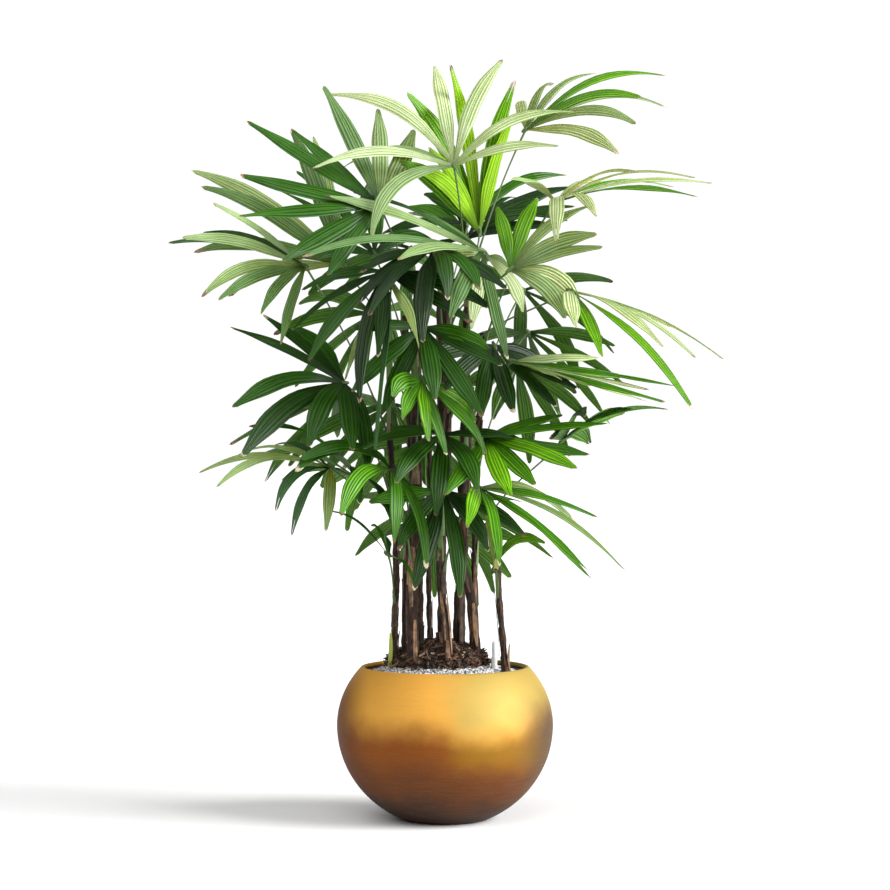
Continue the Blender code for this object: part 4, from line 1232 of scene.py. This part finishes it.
def gravel_ring():
    """Uneven ground from the mound out to the liner, for chips to lie on."""
    mound = MOUND_RADIUS - 0.004
    wall = outer_point(RIM_ANGLE, WALL).x - LINER_WIDTH
    points = []
    rows = []
    for i in range(GRAVEL_ROWS + 1):
        share = i / GRAVEL_ROWS
        reach = mound + (wall - mound) * share
        level = GRAVEL_TOP - GRAVEL_SUNK - (GRAVEL_TOP - GRAVEL_SHOULDER + GRAVEL_DIP) * share
        rows.append([len(points) + k % GRAVEL_STEPS for k in range(GRAVEL_STEPS + 1)])
        for k in range(GRAVEL_STEPS):
            angle = math.tau * k / GRAVEL_STEPS
            place = Vector((MOUND_X * (1 - share) + reach * math.cos(angle), reach * math.sin(angle), 0))
            lift = GRAVEL_UNEVEN * noise.noise(place * 60 + Vector((3, 0, 0)))
            points.append((place.x, place.y, level + lift))
    return woven("gravel_bed", points, rows)


MULCH_ROWS = 14
MULCH_STEPS = 72


def mulch_mound():
    """The lumpy mound of bark round the canes, for splinters to lie on."""
    profile = []
    for i in range(MULCH_ROWS + 1):
        turn = 0.5 * math.pi * i / MULCH_ROWS
        profile.append((MOUND_RADIUS * math.sin(turn),
                        GRAVEL_TOP + (MOUND_TOP - GRAVEL_TOP) * math.cos(turn)))
    mound = turned_mesh("mulch_bed", profile + [(MOUND_RADIUS, GROUND), (0, GROUND)], MULCH_STEPS)
    for vert in mound.vertices:
        if vert.co.z > GRAVEL_TOP - 0.001:
            place = Vector((vert.co.x, vert.co.y, 0.0))
            vert.co.z += 0.011 * noise.noise(place * 42) + 0.004 * noise.noise(place * 130) - 0.004
        vert.co.x += MOUND_X
    return mound


CHIP_RADIUS = 0.0021
CHIP_SQUASH = 0.75


def chip(seed):
    """A small stone: a rough ball of twenty faces, pushed about and flattened."""
    chance = random.Random(seed)
    shape = bmesh.new()
    bmesh.ops.create_icosphere(shape, subdivisions=1, radius=CHIP_RADIUS)
    for vert in shape.verts:
        vert.co *= chance.uniform(0.72, 1.25)
        vert.co.z *= CHIP_SQUASH
        vert.co.x *= 1.25
    mesh = bpy.data.meshes.new("chip")
    shape.to_mesh(mesh)
    shape.free()
    return mesh


SPLINTER_ROWS = 5
SPLINTER_BREADTH = 0.0017
SPLINTER_DEPTH = 0.0009
SPLINTER_BEND = 0.0022


def splinter(length, seed):
    """A curved splinter of bark or fibre: four-sided, pointed at both ends."""
    chance = random.Random(seed)
    skin = Skin()
    points = []
    radii = []
    for i in range(SPLINTER_ROWS + 1):
        share = i / SPLINTER_ROWS
        aside = SPLINTER_BEND * math.sin(math.pi * share) + chance.uniform(-0.2, 0.2) * SPLINTER_BEND
        rise = SPLINTER_BEND * 0.4 * math.cos(math.pi * share * 1.3)
        points.append(Vector((length * (share - 0.5), aside, rise)))
        radii.append(SPLINTER_BREADTH * (0.25 + 0.75 * math.sin(math.pi * (0.1 + 0.8 * share))))
    skin.tube(points, radii, 4, None, flat=SPLINTER_DEPTH / SPLINTER_BREADTH)
    mesh = bpy.data.meshes.new("splinter")
    mesh.from_pydata(skin.points, [], skin.faces)
    return mesh


# The scatter's inputs: name, kind of socket and starting value
SCATTER_SOCKETS = (
    ("Ground", "NodeSocketGeometry", None),
    ("Chip", "NodeSocketObject", None),
    ("Density", "NodeSocketFloat", 1000.0),
    ("Seed", "NodeSocketInt", 1),
    ("Smallest", "NodeSocketFloat", 0.6),
    ("Largest", "NodeSocketFloat", 1.4),
    ("Turn Low", "NodeSocketVector", (0.0, 0.0, 0.0)),
    ("Turn High", "NodeSocketVector", (0.0, 0.0, 6.28)),
    ("Finish", "NodeSocketMaterial", None),
)


def scatter_tree(name):
    """Nodes that strew a chip over a ground: points, turned and sized copies, realized, in one material."""
    tree = bpy.data.node_groups.new(name, "GeometryNodeTree")
    sockets = {}
    for label, kind, value in SCATTER_SOCKETS:
        socket = tree.interface.new_socket(label, in_out="INPUT", socket_type=kind)
        if value is not None:
            socket.default_value = value
        sockets[label] = socket.identifier
    tree.interface.new_socket("Strewn", in_out="OUTPUT", socket_type="NodeSocketGeometry")
    wire = Wire(tree)
    start = tree.nodes.new("NodeGroupInput")
    given = {label: Wire(tree, start.outputs[label]) for label, kind, value in SCATTER_SOCKETS}
    spots = wire.node("GeometryNodeDistributePointsOnFaces", None,
                      {"Mesh": given["Ground"], "Density": given["Density"], "Seed": given["Seed"]})
    shape = wire.node("GeometryNodeObjectInfo", None, {"Object": given["Chip"]}, "Geometry")
    size = wire.node("FunctionNodeRandomValue", {"data_type": "FLOAT"},
                     {"Min": given["Smallest"], "Max": given["Largest"], "Seed": given["Seed"]}, 1)
    turn = wire.node("FunctionNodeRandomValue", {"data_type": "FLOAT_VECTOR"},
                     {"Min": given["Turn Low"], "Max": given["Turn High"], "Seed": given["Seed"]}, 0)
    strewn = wire.node("GeometryNodeInstanceOnPoints", None,
                       {"Points": spots, "Instance": shape, "Rotation": turn, "Scale": size})
    solid = wire.node("GeometryNodeRealizeInstances", None, {"Geometry": strewn})
    worn = wire.node("GeometryNodeSetMaterial", None, {"Geometry": solid, "Material": given["Finish"]})
    end = tree.nodes.new("NodeGroupOutput")
    tree.links.new(worn.socket, end.inputs[0])
    return tree, sockets


def strewn(name, ground, chip_mesh, tree, sockets, slot, **inputs):
    """Run the scatter nodes once and keep the result as a plain piece."""
    bed = bpy.data.objects.new("bed", ground)
    grain = bpy.data.objects.new("grain", chip_mesh)
    bpy.context.scene.collection.objects.link(bed)
    bpy.context.scene.collection.objects.link(grain)
    live = bed.modifiers.new("Strew", "NODES")
    live.node_group = tree
    live[sockets["Chip"]] = grain
    for label, value in inputs.items():
        live[sockets[label.replace("_", " ").title()]] = value
    bpy.context.view_layer.update()
    graph = bpy.context.evaluated_depsgraph_get()
    mesh = bpy.data.meshes.new_from_object(bed.evaluated_get(graph))
    bpy.data.objects.remove(bed)
    bpy.data.objects.remove(grain)
    mesh.name = name
    shown(name, mesh, slot)


def lay_bed(ground, finish, slot, node):
    """Show a copy of the ground under what is strewn on it."""
    bed = ground.copy()
    bed.materials.append(finish)
    shown(ground.name, bed, slot, node)


# What is strewn: its look, how many to the square metre, and a splinter's length
GRAVEL_MIX = (("stone_white", 60000.0), ("stone_pale", 52000.0), ("stone_grey", 44000.0),
              ("stone_dark", 44000.0))
MULCH_MIX = (("bark_dark", 30000.0, 0.016), ("bark_brown", 24000.0, 0.018),
             ("bark_red", 15000.0, 0.015), ("bark_tan", 7000.0, 0.017))
# How it is sized and turned
CHIPS_LIE = {"smallest": 0.55, "largest": 1.35,
             "turn_low": (0.0, 0.0, 0.0), "turn_high": (6.28, 6.28, 6.28)}
SPLINTERS_LIE = {"smallest": 0.5, "largest": 1.5,
                 "turn_low": (-0.9, -0.7, 0.0), "turn_high": (0.9, 0.7, 6.28)}


def make_ground(looks):
    """Gravel and bark mulch over the soil."""
    tree, sockets = scatter_tree("strew")
    gravel = gravel_ring()
    lay_bed(gravel, looks["stone_dark"], "grey_gravel", "gravel")
    for k, (look, density) in enumerate(GRAVEL_MIX):
        strewn(look.replace("stone", "chips"), gravel, chip(20 + k), tree, sockets, "grey_gravel",
               density=density, seed=11 + k, finish=looks[look], **CHIPS_LIE)
    mound = mulch_mound()
    lay_bed(mound, looks["bark_dark"], "bark_mulch", "root_mound")
    for k, (look, density, length) in enumerate(MULCH_MIX):
        strewn(look.replace("bark", "mulch"), mound, splinter(length, 50 + k), tree, sockets, "bark_mulch",
               density=density, seed=31 + k, finish=looks[look], **SPLINTERS_LIE)


# Colours of the finishes that come in several tones, dark before light, with a stone's roughness after them
TONES = {
    dry_finish: {
        "tip_brown": ((0.07, 0.035, 0.020), (0.22, 0.12, 0.07)),
        "tip_russet": ((0.16, 0.085, 0.050), (0.36, 0.22, 0.15)),
        "tip_pale": ((0.34, 0.27, 0.17), (0.62, 0.54, 0.39)),
    },
    stem_finish: {
        "petiole_green": ((0.060, 0.115, 0.022),),
        "sheath_green": ((0.10, 0.16, 0.04),),
        "sheath_lime": ((0.34, 0.40, 0.05),),
    },
    split_finish: {
        "sheath_tan": ((0.10, 0.06, 0.03), (0.30, 0.21, 0.12)),
        "strip_tan": ((0.040, 0.019, 0.009), (0.33, 0.18, 0.09)),
        "strip_brown": ((0.012, 0.006, 0.003), (0.11, 0.055, 0.027)),
    },
    bark_finish: {
        "potting_soil": ((0.010, 0.006, 0.004), (0.050, 0.030, 0.018)),
        "bark_dark": ((0.008, 0.005, 0.004), (0.040, 0.024, 0.016)),
        "bark_brown": ((0.030, 0.016, 0.010), (0.110, 0.062, 0.038)),
        "bark_red": ((0.070, 0.030, 0.016), (0.190, 0.095, 0.055)),
        "bark_tan": ((0.17, 0.10, 0.06), (0.40, 0.28, 0.19)),
    },
    stone_finish: {
        "stone_white": ((0.62, 0.62, 0.62), (0.92, 0.92, 0.92), 0.55),
        "stone_pale": ((0.34, 0.34, 0.36), (0.62, 0.62, 0.64), 0.6),
        "stone_grey": ((0.11, 0.11, 0.13), (0.28, 0.28, 0.32), 0.6),
        "stone_dark": ((0.012, 0.012, 0.016), (0.06, 0.06, 0.075), 0.5),
    },
}


def make_looks():
    """Every finish, by its name."""
    looks = {name: leaf_finish(name, colour) for name, colour in SHADES.items()}
    looks["leaf_back"] = leaf_finish("leaf_back", (0.085, 0.215, 0.014), 0.55)
    # Undersides of the leaflets with painted sheen: pale painted light, letting more light through
    looks["leaf_back_pale"] = leaf_finish("leaf_back_pale", (0.700, 0.760, 0.550), 0.55, 0.50)
    for finish, tones in TONES.items():
        for name, tone in tones.items():
            looks[name] = finish(name, *tone)
    looks["cane"] = cane_finish()
    looks["gold"] = gold_finish()
    looks["liner"] = liner_finish()
    looks["clear"] = clear_finish()
    looks["gauge_mark"] = plain_finish("gauge_mark", (0.62, 0.64, 0.66), 0.4)
    return looks


CAMERA_PLACE = (0.0, -4.2, 0.69)
CAMERA_LENS = 91.74


def make_camera():
    """A level camera straight in front."""
    camera = bpy.data.objects.new("camera", bpy.data.cameras.new("camera"))
    camera.data.sensor_width = 36.0
    camera.data.lens = CAMERA_LENS
    camera.location = CAMERA_PLACE
    camera.rotation_euler = (math.radians(90), 0.0, 0.0)
    bpy.context.scene.collection.objects.link(camera)
    bpy.context.scene.camera = camera


FLOOR_REACH = 60.0
# Surroundings: a white wall behind, dimmer to the sides, in front and above
WALL_WHITE = 1.05
ROOM_GREY = 0.15
WALL_SIDE = (0.72, 0.93)
WALL_TOP = (0.22, 0.50)
# Each lamp's power, width in degrees and the way its light travels
LAMPS = {
    "window": (6.5, 40, (-0.86, 0.26, -0.41)),
    "skylight": (2.1, 70, (0.30, 0.45, -0.82)),
}


def make_studio():
    """White wall behind, pale floor, broad window light from the right, weak skylight from the left."""
    scene = bpy.context.scene
    world = bpy.data.worlds.new("studio")
    world.use_nodes = True
    sky = Wire(world.node_tree)
    way = sky.node("ShaderNodeTexCoord", out="Generated")
    behind = sky.node("ShaderNodeSeparateXYZ", None, {0: way}, 1).between(*WALL_SIDE)
    above = sky.node("ShaderNodeSeparateXYZ", None, {0: way}, 2).between(*WALL_TOP)
    glow = (behind * (1.0 - above)).colour((ROOM_GREY,) * 3, (WALL_WHITE,) * 3)
    world.node_tree.links.new(glow.socket, world.node_tree.nodes["Background"].inputs["Color"])
    scene.world = world
    scene.view_settings.view_transform = "Standard"
    scene.view_settings.look = "None"
    for name, (power, width, direction) in LAMPS.items():
        lamp = bpy.data.lights.new(name, "SUN")
        lamp.energy = power
        lamp.angle = math.radians(width)
        holder = bpy.data.objects.new(name, lamp)
        holder.rotation_mode = "QUATERNION"
        holder.rotation_quaternion = Vector(direction).to_track_quat("-Z", "Y")
        scene.collection.objects.link(holder)
    floor = bpy.data.meshes.new("floor")
    r = FLOOR_REACH
    floor.from_pydata([(-r, -r, 0), (r, -r, 0), (r, r, 0), (-r, r, 0)], [], [(0, 1, 2, 3)])
    ground = Finish("floor_paint", 0.9)
    speck = ground.wire.noise(ground.place, 30.0)
    floor.materials.append(ground.feed(base_color=speck.colour((0.88, 0.88, 0.88), (0.90, 0.90, 0.90))))
    sheet = bpy.data.objects.new("floor", floor)
    sheet.location.z = -0.0005
    scene.collection.objects.link(sheet)


def main():
    """Looks and studio first, then the pot and what is in it, the canes and the fronds."""
    looks = make_looks()
    make_camera()
    make_studio()
    make_pot(looks)
    make_liner(looks)
    make_gauge(looks)
    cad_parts["soil"].data.materials.clear()
    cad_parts["soil"].data.materials.append(looks["potting_soil"])
    make_ground(looks)
    for index in range(len(CANES)):
        cane_skin(index, looks).piece(f"cane_{index + 1:02d}_fibre", "fibrous_cane", f"cane_{index + 1:02d}")
    stump_skin(looks).piece("cane_stump_fibre", "fibrous_cane", "cane_stump")
    ways, crowns = grow(FRONDS)
    for number, (frond, way, leaves) in enumerate(zip(FRONDS, ways, crowns)):
        fine_frond(number, frond, way, leaves, looks)


main()
